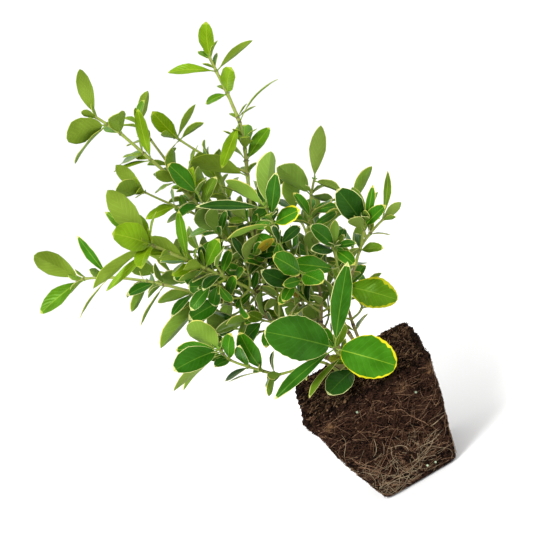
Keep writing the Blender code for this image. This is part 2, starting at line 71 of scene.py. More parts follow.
LEAF_WIDTH = 0.42
LEAF_STALK = 0.12
FULLNESS = 1.12
FACING = 1.6
STALK_RADIUS = 0.6
LONG_LEAF = 27
SUNK = 1.2
CLEARANCE = 0.5
CLEAR_OF_TWIG = 0.25

# How a pair of leaves stands on its twig, and how far it strays, bends and folds, in degrees
OPEN_AT_FOOT = 68
OPEN_AT_TIP = 42
QUARTER_TURN = 90
TURN_PLAY = 12
OPENING_PLAY = 8
BEND = (10, 50)
FOLD = (5, 25)

# How wide a leaf is against the usual: one with a reach of its own, and one by the rule
OWN_WIDTHS = (0.85, 1.1)
RULE_WIDTHS = (0.85, 1.25)

# Leaves of the looks, in millimetres: blade, midrib, stalk, and which leaf is broad, small or full-edged
BLADE_THICKNESS = 0.35
RIB_HALF = 0.35
RIB_DEPTH = 0.35
PETIOLE_RADIUS = 0.5
PETIOLE_SIDES = 5
BLADE_FOOT = 0.45
BLADE_TIP = 0.12
BROAD_LEAF = 20
SMALL_LEAF = 14
FULL_EDGED_LEAF = 26

# Shares of a blade: how far its teeth stand out and from where, and the least that its margins leave green
TOOTH = 1.04
TEETH_FROM = 0.4
LEAST_GREEN = 0.6

# Bark, in millimetres, with how much a limb is slimmer than its solid and how much its foot flares
LIMB_BARK_SIDES = 14
TWIG_BARK_SIDES = 8
SHOOT_BARK_SIDES = 6
BARK_STEP = 1.6
FIRST_NODE = 8
NODE_SPACING = 17
NODE_LENGTH = 1.3
NODE_RING = 0.8
NODE_SWELL = 0.28
FLARE_LENGTH = 5
FURROW_DEPTH = 0.12
ROOT_DEPTH = 3
LIMB_SLIMNESS = 0.85
BOUGH_FLARE = 1.2
TWIG_FLARE = 1.15
TWIG_BUD = 3.2
SHOOT_BUD = 2.6
SIDE_BUD = 1.8

# Small leaves that fill in: how far apart on a limb, how near they may come to others, and how long on a twig
FILL_SPACING = 13
LOOSE = 0.05
TINY_LEAF = (8, 14)
TINY_SHARE = 0.6

# Peat, in millimetres: cuts of its block, heights of its clods, grain and mound, its worn and flared rim
PEAT_CUTS = 80
SHARP_SQUARENESS = 14
CLOD_HEIGHT = 1.3
GRAIN_HEIGHT = 0.9
MOUND_HEIGHT = 0.6
MOUND_SWING = 1.2
SMOOTH_FOOT = 4
RIM_WEAR = 1.0
RIM_FLARE = 2.4
RIM_DEPTH = 18

# Painted shade, a dark patch on the peat round the stems' feet under the leaves, and the dry patches of the
# peat, in millimetres
PAINTED_STEM_SHADE = (-3, -12, 81)
PAINTED_STEM_SHADE_RADIUS = 12
DRY_PATCHES = [(-33, -43, 72), (20, -43, 70), (40, -42, 72)]
DRY_RADIUS = 6.5

# What lies on the ball, in counts and millimetres. A bead of feed has its turn about the axis and its height
TOP_CRUMBS = 1100
SIDE_CRUMBS = 1500
TOP_FIBRES = 1500
CRUMB_REACH = 44
FIBRE_REACH = 42
FIBRE_RADII = (0.2, 0.28, 0.15)
FIBRE_KINDS = ("brown-root", "dry-crumb", "dry-crumb", "tan-root")
DRY_SHARE = 0.22
DARK_SHARE = 0.75
FEED_BEADS = [(-1.85, 71), (-1.02, 62), (-1.32, 9), (-1.15, 8), (0.4, 40), (2.2, 60)]
BEAD_RADIUS = 0.9

# Rootlets, in counts, millimetres and radians: some low ones are long, and some of those run down at the left
ROOTLETS = 3000
LONG_EVERY = 6
STEEP_EVERY = 4
STEEP_TURNS = (-2.6, -1.7)
LONG_ROOTLET = (18, 55)
SHORT_ROOTLET = (3, 12)
LONG_RADIUS = (0.16, 0.32)
SHORT_RADIUS = (0.10, 0.18)
LOW_ROOTS = ("grey-root", "tan-root", "brown-root")
HIGH_ROOTS = ("tan-root", "brown-root", "brown-root", "brown-root")
ROOTLET_STEP = 2.2
ROOTLET_MARGIN = 1.5
ROOTLET_WANDER = 0.55

# How strongly a skin mirrors what is round it, where 0.5 is the usual skin, and how a leaf's veins show
LEAF_SHEEN = 0.22
SHEEN_TINT = (0.6, 1.0, 0.25, 1.0)
SOIL_SHEEN = 0.03
VEIN_PALENESS = 0.13
VEIN_COUNT = 52
VEIN_SLANT = 0.6

# The stage: the floor's side and the lamps' place, size in metres and power, and what they shine at
FLOOR_SIDE = 60
SKY = 1.09
LAMPS = {
    "key": ((-0.6, -0.9, 1.3), 0.5, 20),
    "fill": ((0.9, -0.9, 0.5), 0.9, 2),
}
LIT_POINT = (0, 0, 0.17)

# The camera: azimuth, elevation and roll in degrees, its aim and distance in millimetres, and its focal
# length in pixels of the photograph
CAMERA_ANGLES = (3.6, 10.9, -31.6)
CAMERA_AIM = (-16, 0, 174.5)
CAMERA_DISTANCE = 700
FOCAL_PIXELS = 1053
PHOTO_SIDE = 533
SENSOR_WIDTH = 36

# The stems and boughs: what carries each, points along its axis, radius at its foot and at its tip, bark
LIMBS = {
    "main-stem": ("root-ball", [(-4, -2, 80), (-13, -8, 103), (-25, -8, 131), (-34, -6, 151), (-29, -1, 166),
                                (-18, 5, 184), (-8, 10, 207)], 2.5, 1.5, "brown"),
    "middle-stem": ("root-ball", [(3, 8, 80), (-5, 9, 104), (-6, 9, 117), (2, 6, 132), (7, 4, 146),
                                  (-1, -6, 155), (0, -21, 172)], 1.6, 1.2, "brown"),
    "right-stem": ("root-ball", [(10, 0, 80), (8, 0, 100), (10, 0, 119), (24, -4, 136), (35, -8, 146)],
                   1.6, 1.2, "brown"),
    "low-stem": ("root-ball", [(-7, -14, 80), (-16, -26, 106), (-32, -32, 112), (-44, -34, 116)],
                 1.3, 1.0, "green"),
    "front-stem": ("root-ball", [(3, -22, 80), (0, -28, 90)], 1.6, 1.4, "green"),
    "back-stem": ("root-ball", [(-3, 17, 80), (-6, 30, 112), (-18, 38, 146)], 1.7, 1.2, "brown"),
    "back-right-stem": ("root-ball", [(9, 13, 80), (14, 26, 108), (22, 36, 132)], 1.5, 1.1, "brown"),
    "left-bough": ("main-stem", [(-34, -6, 151), (-41, -13, 160), (-50, -18, 172)], 1.3, 1.2, "green"),
    "lime-bough": ("main-stem", [(-31, -4, 159), (-33, -18, 173), (-46, -33, 198)], 1.3, 1.2, "green"),
    "upper-bough": ("main-stem", [(-20, 4, 182), (-29, 0, 205), (-33, -5, 236)], 1.3, 1.2, "green"),
    "tall-bough": ("middle-stem", [(7, 4, 145), (13, 7, 171), (26, 8, 187)], 1.1, 1.0, "green"),
    "back-left-bough": ("main-stem", [(-34, -6, 149), (-42, 6, 160), (-50, 15, 171)], 1.2, 1.0, "green"),
    "back-upper-bough": ("main-stem", [(-16, 6, 189), (-17, 20, 200), (-20, 32, 214)], 1.2, 1.0, "green"),
}

# The foliage: what carries each mass, its slot of leaves, and its twigs. A twig has points along its axis,
# its radius, the turn of its lowest pair out of the plane that faces the front, and its pairs from foot to
# tip. A pair says how far up its twig it stands and gives its two leaves. A leaf is a length, or where it
# goes its own way, its reach to the right, back and up, how far its upper side turns to the front, and its
# width.
FOLIAGE = {
    "top-foliage": ("main-stem", "lime-leaf", [
        ([(-8, 10, 207), (6, 15, 235), (18, 15, 264), (22, 20, 300), (23, 20, 311)], 1.3, 0, [
            (0.10, 22, 18),
            (0.24, (-27, -8, 29, -1), 14),
            (0.33, (25, 5, 11, 1), (-7, 20, 16, -1)),
            (0.40, 26, 20),
            (0.46, 15, 12),
            (0.57, (-25, -20, -18, 2, 9), (36, 2, 11, 0, 5)),
            (0.60, 11, (14, 8, 0, 0, 5)),
            (0.75, (11, -10, 14, 1, 14), (-16, 6, 2, 1)),
            (0.90, (-28, 6, 16, 1, 8), (31, 8, 5, -1, 7)),
            (1.00, (10, -6, 21, 1, 11), 11)]),
        ([(4, 15, 234), (-12, 22, 254), (-24, 25, 277)], 1.0, 30, [
            (0.50, 17, 15),
            (0.94, (20, -7, 2, -1, 7), (-15, -11, -7, 0, 5)),
            (1.00, (-4, -11, 24, 1, 12), (22, 5, 13, -1, 6))])]),
    "upper-foliage": ("upper-bough", "lime-leaf", [
        ([(-33, -5, 236), (-36, -10, 254), (-42, -14, 274), (-49, -20, 299), (-57, -20, 316)], 1.2, 0, [
            (0.04, (12, -10, 18, 1, 9), 15),
            (0.12, 16, (21, -14, 18, 0, 4)),
            (0.22, (-7, -12, 13, -1), 16),
            (0.47, (11, -12, 32, 1, 9), (-26, 12, 6, 0, 6)),
            (0.54, 14, (-20, 18, -5)),
            (0.77, (7, -15, 12, -1, 12), (-6, 23, 11, 1)),
            (0.89, (-25, -10, 6, -1, 18), (-28, 14, -8)),
            (1.00, (8, -6, 30, -1, 10), 12)]),
        ([(-33, -5, 239), (-33, 8, 250), (-37, 18, 266), (-40, 24, 298)], 1.0, 20, [
            (0.50, 15, 15),
            (0.80, (-17, 8, 5), 14),
            (0.93, 16, 14),
            (1.00, (16, 6, 16, -1, 9), (12, -10, 12, 1, 8))])]),
    "side-foliage": ("upper-bough", "lime-leaf", [
        ([(-32, -3, 223), (-45, -10, 241), (-57, -22, 262)], 0.9, 60, [
            (0.25, (-17, 5, 1), 14),
            (0.45, (-20, -8, 4, 1, 7), 14),
            (0.94, 12, 10),
            (1.00, (-5, -4, 23, -1, 9), (-11, -16, 11, -1, 14))])]),
    "lime-foliage": ("lime-bough", "lime-leaf", [
        ([(-46, -33, 198), (-60, -44, 222), (-67, -50, 234)], 1.2, 0, [
            (0.05, (18, -9, 13, 1, 11), (-9, -16, 10, -1)),
            (0.20, (-16, -6, 2, 1), 13),
            (0.35, (13, -12, 31, 1, 8), (-14, -14, 26, -1)),
            (0.65, 18, 16),
            (0.90, (-16, 10, 33, 0, 8), (-40, -2, -8, 1, 6)),
            (0.94, (14, -6, 17, 0, 4), (-10, -22, -6, 1, 12)),
            (0.97, (-3, 12, 21, 1, 14), (-15, -12, 20, 1, 18)),
            (1.00, (-3, -8, 42, -1, 15), (-41, -16, -3, -1, 12))])]),
    "left-foliage": ("left-bough", "edged-leaf", [
        ([(-50, -18, 172), (-65, -14, 188), (-88, -4, 208), (-109, 0, 223), (-126, 4, 231)], 1.2, 0, [
            (0.02, (-23, -12, 3, 2, 13), (-28, -4, -10, 0, 6)),
            (0.09, (-44, -12, -9, -1, 15), (6, 12, 16)),
            (0.14, 16, 18),
            (0.20, (-22, -14, 10, -1, 9), (-20, -14, -3, 1, 8)),
            (0.42, (-27, -6, -14, 0, 7), 16),
            (0.48, (-19, -8, 4, 1, 9), 18),
            (0.54, (-19, -6, -11, -1, 8), 18),
            (0.80, (-4, 6, 34, 1, 8), (-30, -8, -12, 0, 5)),
            (0.97, (-38, 14, -5, 1, 9), 10),
            (1.00, (-15, -14, 31, -1, 16), (-36, -2, -5, 1, 11))])]),
    "low-foliage": ("low-stem", "edged-leaf", [
        ([(-44, -34, 116), (-51, -36, 124), (-58, -38, 133), (-65, -40, 143), (-66, -42, 153)], 1.0, 0, [
            (0.05, (-10, -9, -8, -2, 6), 16),
            (0.22, (1, -7, 32, 1, 14), (-22, -8, 8, 0, 5)),
            (0.45, (4, -14, 19, 1, 10), 18),
            (0.75, (11, -9, 17, 1, 11), (-9, -11, 4, 1, 8)),
            (0.90, (3, 8, 11, 1), (-37, 14, -11, -1, 9)),
            (0.95, (-10, 4, 25, -1, 17), (-40, 2, -7, -1, 10)),
            (1.00, (-29, -18, 8, 1, 18), (-26, 12, 12, 1, 10))])]),
    "front-foliage": ("middle-stem", "olive-leaf", [
        ([(0, -21, 172), (0, -30, 186), (3, -38, 199), (6, -47, 217)], 1.1, 0, [
            (0.35, (-4, -13, 17, 1, 8), (17, 6, 3, 1, 8)),
            (0.45, (-6, 12, -15, 1, 8), 14),
            (0.70, (-28, -14, 9, -1, 7), (19, -12, 1, 1, 12)),
            (0.78, (18, -16, 25, 1, 10), 14),
            (0.95, (-13, 6, 27, -1, 10), (-35, -16, 25, 1, 7)),
            (1.00, (20, -6, 28, -1, 15), 16)])]),
    "inner-front-foliage": ("middle-stem", "edged-leaf", [
        ([(-1, -6, 155), (-6, -13, 158)], 0.9, 0, [
            (0.60, (-17, -12, -4, 1, 8), 14),
            (1.00, (-13, -20, 23, 1, 13), (-12, -12, -4, 1, 8))])]),
    "tall-foliage": ("tall-bough", "olive-leaf", [
        ([(26, 8, 187), (33, 8, 198), (41, 8, 207)], 1.0, 90, [
            (0.10, (18, 6, -7, 1, 9), 15),
            (0.55, (-8, -16, 30, -1, 17), (11, 12, -13, -1, 8)),
            (1.00, (22, -8, 30, -1, 11), (12, -14, -13, -1, 11))])]),
    "right-foliage": ("right-stem", "edged-leaf", [
        ([(35, -8, 146), (45, -10, 156), (60, -10, 162), (66, -8, 163)], 1.1, 90, [
            (0.28, (14, -8, -5, 1, 8), 16),
            (0.62, 14, 12),
            (1.00, (20, 8, 25, 1, 6), (17, 4, 3, -1, 7))]),
        ([(45, -10, 156), (52, -18, 167), (56, -20, 171)], 1.0, 90, [
            (0.60, (-3, -20, 15, -1, 10), 15),
            (0.75, (-3, -5, 31, 2, 17), (18, -16, 8, 1, 10)),
            (0.93, (17, 14, 10, -1, 8), 16),
            (1.00, (15, -10, 20, 1, 6), (8, 10, 20, -1, 9))]),
        ([(50, -10, 158), (53, -2, 169), (54, 4, 180)], 0.9, 90, [
            (0.60, 14, 14),
            (1.00, (24, 2, 16, -1, 10), 15)])]),
    "middle-foliage": ("right-stem", "edged-leaf", [
        ([(21, -3, 133), (24, -14, 152), (30, -20, 167)], 1.0, 90, [
            (0.12, (26, -19, -22, 1, 17), 18),
            (0.50, (-24, -20, 24, 1, 13), 14),
            (0.90, (-13, -22, 13, 1, 9), (6, -16, -11, 1, 9)),
            (0.95, (9, -10, 18, -1, 7), (12, 10, 6, 1, 7)),
            (1.00, (-7, -14, 23, 1, 12), (13, -10, -3, 1, 6))])]),
    "front-rosette": ("front-stem", "green-leaf", [
        ([(0, -28, 90), (-2, -34, 101), (-4, -39, 111), (-3, -40, 115)], 1.4, 0, [
            (0.05, (-22, -20, 1, 1, 14), (24, 4, -3, 1, 9)),
            (0.30, (-12, -10, -9, -1, 5), 12),
            (0.62, (-30, -20, -6, 0, 8), 9),
            (0.88, (13, 14, 9, 1, 9), (-1, 18, 12, 1, 8)),
            (0.94, (28, -22, -23, 2, 28), (-49, -12, -5, 1, 10)),
            (1.00, (35, -12, 47, 1, 13), (-31, -20, 38, 2, 28))])]),
    "inner-foliage": ("middle-stem", "olive-leaf", [
        ([(2, 6, 131), (-9, 2, 143), (-20, 0, 150), (-26, -6, 164), (-31, -12, 179)], 0.9, 45, [
            (0.22, 20, 18),
            (0.45, (-11, -15, 4, -1, 8), 18),
            (0.74, (-7, -12, -14, -1, 12), (-11, 7, -16, 1, 8)),
            (0.97, (-8, 0, 16, 1, 9), (-23, 6, -2, 1, 8)),
            (1.00, (-18, 10, 11, -1, 8), 12)])]),
    "node-foliage": ("main-stem", "edged-leaf", [
        ([(-22, 5, 177), (-19, -3, 184), (-18, -9, 188)], 0.9, 0, [
            (0.35, (19, 2, -11, 1, 8), 14),
            (0.55, (19, 9, -3, 1, 9), (-12, -10, -4, -1, 8)),
            (0.75, (18, -13, -4, 1, 9), (-15, 5, 5, -1, 5)),
            (1.00, (17, -7, 3, 1, 6), (-14, -10, 8, -1, 7))])]),
    "foot-foliage": ("main-stem", "olive-leaf", [
        ([(-26, -8, 133), (-29, -14, 141), (-35, -18, 148), (-38, -22, 153)], 0.9, 0, [
            (0.45, (-8, 12, -20, 1, 10), (-12, -12, -9, 1, 9)),
            (0.75, (-20, 7, -8, 1, 12), (-5, -13, 13, 1, 9)),
            (0.92, (-3, -4, 10, 1, 5), 10),
            (1.00, (-18, -12, 10, -1, 8), (-28, -6, 8, -1, 9))])]),
    "bough-foliage": ("lime-bough", "edged-leaf", [
        ([(-41, -26, 188), (-46, -33, 187), (-50, -37, 190)], 0.9, 0, [
            (0.50, (-13, 10, -9, 1, 9), (-2, 8, -15, 1, 7)),
            (1.00, (-19, -6, -6, 1, 9), (-14, 4, 6, 1, 10))])]),
    "heart-foliage": ("upper-bough", "edged-leaf", [
        ([(-29, 0, 204), (-32, -5, 212)], 0.9, 0, [
            (0.20, (-20, -11, 0, 1, 9), (-14, -13, -9, 1, 9)),
            (0.60, (12, 2, 12, 1, 6), (4, -9, 6, 1, 6)),
            (1.00, (-2, -11, 21, -1, 14), (6, -13, 18, -1, 11))])]),
    "stem-foliage": ("main-stem", "olive-leaf", [
        ([(-13, 8, 196), (-11, 4, 204), (-11, 1, 208)], 0.9, 0, [
            (0.30, (-8, -17, 5, 1, 9), (16, -5, -1, 1, 9)),
            (0.65, (15, 8, 0, 1, 10), 14),
            (1.00, (-3, -10, 18, -1, 9), 14)])]),
    "back-foliage": ("back-stem", "green-leaf", [
        ([(-18, 38, 146), (-26, 48, 172), (-32, 56, 200)], 1.1, 10, [
            (0.15, 24, 20), (0.40, 28, 26), (0.65, 30, 28), (0.85, 26, 24), (1.00, 24, 22)]),
        ([(-22, 43, 160), (-45, 50, 182), (-54, 52, 198)], 0.9, 40, [
            (0.45, 24, 22), (0.72, 26, 24), (1.00, 24, 22)])]),
    "back-right-foliage": ("back-right-stem", "green-leaf", [
        ([(22, 36, 132), (28, 46, 152), (30, 54, 174)], 1.0, 20, [
            (0.20, 24, 22), (0.50, 28, 24), (0.80, 26, 26), (1.00, 24, 20)])]),
    "back-left-foliage": ("back-left-bough", "green-leaf", [
        ([(-50, 15, 171), (-66, 26, 188), (-84, 34, 204)], 1.0, 0, [
            (0.20, 22, 20), (0.50, 26, 24), (0.80, 24, 22), (1.00, 22, 22)])]),
    "back-upper-foliage": ("back-upper-bough", "lime-leaf", [
        ([(-20, 32, 214), (-22, 42, 232), (-26, 48, 250)], 0.9, 30, [
            (0.40, 20, 18), (0.80, 20, 18), (1.00, 18, 16)])]),
    "back-low-foliage": ("back-stem", "green-leaf", [
        ([(-5, 27, 104), (-10, 44, 112)], 0.9, 0, [
            (0.60, 24, 22), (1.00, 26, 24)])]),
}

# What a leaf tries in turn where it would touch something: turn about its twig, lift, share of its length
TRIES = [(turn, lift, share) for share in (1, 0.85, 0.7) for lift in (0, 12, -12, 25)
         for turn in (0, 12, -12, 25, -25)]

# Leaf colours by tone: upper side, margin, midrib and underside, and the margin's narrowest and widest in
# millimetres
TONES = {
    "lime": ((0.125, 0.225, 0.0005), (0.26, 0.34, 0.02), (0.20, 0.30, 0.01),
             (0.155, 0.235, 0.018), 0.05, 0.2),
    "young": ((0.062, 0.165, 0.0005), (0.36, 0.40, 0.06), (0.15, 0.26, 0.01),
              (0.135, 0.22, 0.018), 0.08, 0.3),
    "bright": ((0.026, 0.125, 0.0005), (0.50, 0.47, 0.10), (0.12, 0.24, 0.012),
               (0.13, 0.225, 0.022), 0.1, 0.75),
    "mid": ((0.015, 0.086, 0.0005), (0.52, 0.52, 0.20), (0.07, 0.17, 0.010), (0.135, 0.225, 0.028), 0.1, 0.8),
    "dark": ((0.006, 0.044, 0.0005), (0.52, 0.53, 0.22), (0.035, 0.10, 0.006),
             (0.12, 0.205, 0.030), 0.1, 0.8),
    "gold": ((0.028, 0.130, 0.0005), (0.52, 0.47, 0.008), (0.15, 0.26, 0.01), (0.16, 0.24, 0.02), 0.1, 3.0),
    "sunned": ((0.062, 0.155, 0.0005), (0.34, 0.34, 0.006), (0.13, 0.24, 0.01), (0.16, 0.24, 0.02), 0.2, 5.0),
    "olive": ((0.070, 0.135, 0.003), (0.44, 0.44, 0.13), (0.14, 0.22, 0.02), (0.145, 0.215, 0.030), 0.1, 0.6),
    "ochre": ((0.22, 0.165, 0.006), (0.42, 0.34, 0.03), (0.18, 0.12, 0.01), (0.26, 0.20, 0.02), 0.2, 0.7),
    "cream": ((0.48, 0.46, 0.14), (0.52, 0.48, 0.14), (0.38, 0.35, 0.08), (0.46, 0.43, 0.15), 0.2, 0.7),
    "husk": ((0.20, 0.24, 0.01), (0.30, 0.30, 0.03), (0.22, 0.23, 0.02), (0.22, 0.26, 0.03), 0.1, 0.3),
}

# The tones that the leaves of each slot are dealt from
SLOT_TONES = {
    "lime-leaf": ("lime", "young", "lime"),
    "edged-leaf": ("mid", "dark", "mid", "bright", "bright", "olive"),
    "olive-leaf": ("olive", "mid", "dark", "bright"),
    "green-leaf": ("bright", "mid", "bright", "olive"),
}

# Leaves with a tone of their own, and a share of their width, by mass, twig, pair and half
OWN_TONES = {
    ("front-rosette", 0, 4, 0): ("gold", 1.0),
    ("front-rosette", 0, 5, 0): ("mid", 1.0),
    ("front-rosette", 0, 5, 1): ("mid", 1.0),
    ("front-rosette", 0, 4, 1): ("mid", 1.0),
    ("front-rosette", 0, 0, 0): ("dark", 1.15),
    ("middle-foliage", 0, 0, 0): ("sunned", 1.25),
    ("front-foliage", 0, 2, 1): ("gold", 1.0),
    ("foot-foliage", 0, 0, 0): ("ochre", 1.0),
    ("inner-foliage", 0, 0, 0): ("cream", 1.0),
    ("inner-foliage", 0, 0, 1): ("ochre", 1.0),
    ("node-foliage", 0, 3, 0): ("ochre", 1.0),
    ("left-foliage", 0, 7, 0): ("bright", 1.0),
    ("left-foliage", 0, 8, 0): ("young", 1.15),
    ("left-foliage", 0, 9, 0): ("lime", 1.0),
    ("left-foliage", 0, 9, 1): ("young", 1.15),
    ("front-rosette", 0, 1, 1): ("husk", 1.7),
    ("front-rosette", 0, 2, 1): ("husk", 2.0),
}

# Leaves that fill out a limb: from which share of it to which, and how long they are
FILL = {
    "main-stem": (0.60, 0.97, 22),
    "middle-stem": (0.50, 0.92, 18),
    "upper-bough": (0.30, 0.92, 20),
    "lime-bough": (0.20, 0.90, 20),
    "left-bough": (0.25, 0.90, 20),
    "tall-bough": (0.20, 0.90, 18),
    "back-stem": (0.35, 0.95, 26),
    "back-right-stem": (0.35, 0.95, 24),
    "back-left-bough": (0.20, 0.90, 22),
    "back-upper-bough": (0.20, 0.90, 20),
    "low-stem": (0.60, 0.95, 15),
}

# Finer shoots that the solids leave out: from which share of a limb to which, at how many nodes, and how long
SHOOTS = {
    "main-stem": (0.45, 0.92, 3, 28),
    "middle-stem": (0.45, 0.85, 2, 20),
    "upper-bough": (0.15, 0.80, 2, 22),
    "lime-bough": (0.30, 0.75, 2, 18),
    "left-bough": (0.40, 0.80, 2, 18),
    "tall-bough": (0.35, 0.75, 2, 16),
    "back-stem": (0.45, 0.95, 3, 30),
    "back-right-stem": (0.50, 0.95, 3, 28),
    "back-left-bough": (0.40, 0.80, 2, 24),
    "back-upper-bough": (0.40, 0.80, 2, 22),
}
SHOOT_LEAVES = ((0.45, 19), (1.00, 23))

# The skins of a leaf, in the order of a tone's colours: roughness, how much the colour varies, relief
SKINS = {
    "upper": (0.3, 0.22, 0.25),
    "margin": (0.4, 0.15, 0.0),
    "rib": (0.4, 0.1, 0.0),
    "under": (0.6, 0.12, 0.15),
}

# Barks: colour, streaks, roughness
BARKS = {
    "green-bark": ((0.23, 0.30, 0.030), (0.22, 0.22, 0.045), 0.55),
    "brown-bark": ((0.20, 0.18, 0.045), (0.12, 0.075, 0.03), 0.75),
    "green-node": ((0.15, 0.16, 0.025), (0.07, 0.055, 0.015), 0.7),
    "brown-node": ((0.09, 0.055, 0.02), (0.020, 0.012, 0.007), 0.8),
}

# Colours of what lies on the ball
GRAINS = {
    "tan-root": (0.25, 0.145, 0.085),
    "grey-root": (0.30, 0.23, 0.145),
    "brown-root": (0.075, 0.035, 0.020),
    "crumb": (0.018, 0.010, 0.006),
    "dry-crumb": (0.16, 0.092, 0.048),
    "feed-bead": (0.50, 0.62, 0.42),
}

# A crumb's first shape, of twelve points and twenty faces
GOLDEN = (1 + 5 ** 0.5) / 2
LUMP_CORNERS = [Vector(c).normalized() for c in (
    (-1, GOLDEN, 0), (1, GOLDEN, 0), (-1, -GOLDEN, 0), (1, -GOLDEN, 0),
    (0, -1, GOLDEN), (0, 1, GOLDEN), (0, -1, -GOLDEN), (0, 1, -GOLDEN),
    (GOLDEN, 0, -1), (GOLDEN, 0, 1), (-GOLDEN, 0, -1), (-GOLDEN, 0, 1))]
LUMP_FACES = [
    (0, 11, 5), (0, 5, 1), (0, 1, 7), (0, 7, 10), (0, 10, 11), (1, 5, 9), (5, 11, 4),
    (11, 10, 2), (10, 7, 6), (7, 1, 8), (3, 9, 4), (3, 4, 2), (3, 2, 6), (3, 6, 8),
    (3, 8, 9), (4, 9, 5), (2, 4, 11), (6, 2, 10), (8, 6, 7), (9, 8, 1)]


class Field:
    """Something that varies over a surface. Arithmetic on it adds the Math nodes that work it out."""

    def __init__(self, finish, socket):
        self.finish = finish
        self.socket = socket

    def worked(self, operation, *terms):
        return self.finish.node("ShaderNodeMath", {"operation": operation}, dict(enumerate(terms)))

    def __add__(self, other):
        return self.worked("ADD", self, other)

    def __radd__(self, other):
        return self.worked("ADD", other, self)

    def __sub__(self, other):
        return self.worked("SUBTRACT", self, other)

    def __rsub__(self, other):
        return self.worked("SUBTRACT", other, self)

    def __mul__(self, other):
        return self.worked("MULTIPLY", self, other)

    def __rmul__(self, other):
        return self.worked("MULTIPLY", other, self)

    def __abs__(self):
        return self.worked("ABSOLUTE", self)

    def sine(self):
        return self.worked("SINE", self)

    def steps_up(self, low, high):
        """Rises smoothly from 0 to 1 between two values."""
        return self.finish.node("ShaderNodeMapRange", {"interpolation_type": "SMOOTHSTEP"},
                                {"Value": self, "From Min": low, "From Max": high})


class Finish:
    """A material under way: its shader and the nodes that feed it."""

    def __init__(self, name, roughness, **fixed):
        self.material = bpy.data.materials.new(name)
        self.material.use_nodes = True
        self.tree = self.material.node_tree
        self.shader = self.tree.nodes["Principled BSDF"]
        self.feed(self.shader.inputs["Roughness"], roughness)
        for socket, value in fixed.items():
            self.feed(self.shader.inputs[socket.replace("_", " ")], value)
        self.place = self.node("ShaderNodeTexCoord", output="Object")

    def node(self, kind, settings=None, sockets=None, output=0):
        """Adds a node with its settings, fills or links its sockets, and gives one of its outputs."""
        node = self.tree.nodes.new(kind)
        for setting, value in (settings or {}).items():
            setattr(node, setting, value)
        for socket, value in (sockets or {}).items():
            self.feed(node.inputs[socket], value)
        return Field(self, node.outputs[output])

    def feed(self, socket, value):
        if isinstance(value, Field):
            self.tree.links.new(value.socket, socket)
        else:
            socket.default_value = value

    def noise(self, scale, detail=2, roughness=0.5):
        """A cloudy pattern of 0 to 1, with so many clouds to the metre."""
        return self.node("ShaderNodeTexNoise", None,
                         {"Vector": self.place, "Scale": scale, "Detail": detail, "Roughness": roughness})

    def cells(self, scale):
        """The distance to the nearest of scattered points, in cells."""
        return self.node("ShaderNodeTexVoronoi", None, {"Vector": self.place, "Scale": scale})

    def mixed(self, share, first, second):
        """A colour between two others."""
        first, second = (c if isinstance(c, Field) else (*c, 1) for c in (first, second))
        return self.node("ShaderNodeMix", {"data_type": "RGBA"}, {0: share, 6: first, 7: second}, output=2)

    def near(self, point, radius):
        """1 at a point given in millimetres, falling to 0 at a radius."""
        gap = self.node("ShaderNodeVectorMath", {"operation": "DISTANCE"},
                        {0: self.place, 1: [c * MM for c in point]}, output="Value")
        return 1 - gap.steps_up(radius * 0.3 * MM, radius * MM)

    def coloured(self, colour):
        self.feed(self.shader.inputs["Base Color"], colour)

    def rough(self, roughness):
        self.feed(self.shader.inputs["Roughness"], roughness)

    def raised(self, height, distance, strength=1.0):
        """Relief of so many millimetres from a height of 0 to 1."""
        bump = self.node("ShaderNodeBump", None,
                         {"Strength": strength, "Distance": distance * MM, "Height": height})
        self.feed(self.shader.inputs["Normal"], bump)


FINISHES = {}


class Bunch:
    """Many small things gathered into one mesh: points in millimetres, and faces with a finish each."""

    def __init__(self):
        self.points = []
        self.faces = []
        self.finishes = []
        self.blades = []

    def add(self, shape, finish, blade=None):
        """Adds a shape, with one finish or a list of them by face, and where each point is on its blade."""
        points, faces = shape
        start = len(self.points)
        self.points += points
        self.faces += [tuple(start + corner for corner in face) for face in faces]
        self.finishes += [finish] * len(faces) if isinstance(finish, str) else finish
        self.blades += blade or [(0.5, 0.0)] * len(points)

    def piece(self, name, slot, *nodes):
        """One object of all that was gathered, riding on the plant."""
        mesh = bpy.data.meshes.new(name)
        mesh.from_pydata([p * MM for p in self.points], [], self.faces)
        kinds = sorted(set(self.finishes))
        for kind in kinds:
            mesh.materials.append(FINISHES[kind])
        index = {kind: i for i, kind in enumerate(kinds)}
        mesh.polygons.foreach_set("material_index", [index[kind] for kind in self.finishes])
        layer = mesh.uv_layers.new(name="blade")
        for loop in mesh.loops:
            layer.data[loop.index].uv = self.blades[loop.vertex_index]
        piece = bpy.data.objects.new(name, mesh)
        bpy.context.scene.collection.objects.link(piece)
        smooth_by_angle(piece, 50)
        mount(piece, slot, *nodes)


def mount(piece, slot, *nodes):
    """Sets a piece on the plant's one body and hides the nodes that it stands for. Its slot is not used."""
    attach(piece, "root")
    if nodes:
        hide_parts(*nodes)


def smooth_by_angle(piece, degrees):
    bpy.ops.object.select_all(action="DESELECT")
    piece.select_set(True)
    bpy.context.view_layer.objects.active = piece
    bpy.ops.object.shade_smooth_by_angle(angle=math.radians(degrees))
    piece.select_set(False)


# The rule by which the plant grows, as in the part's source


def rotated(vector, axis, degrees):
    return Matrix.Rotation(math.radians(degrees), 3, axis) @ vector


def square_to(vector, axis):
    """The part of a vector that is square to an axis, at length one."""
    return (vector - axis * vector.dot(axis)).normalized()


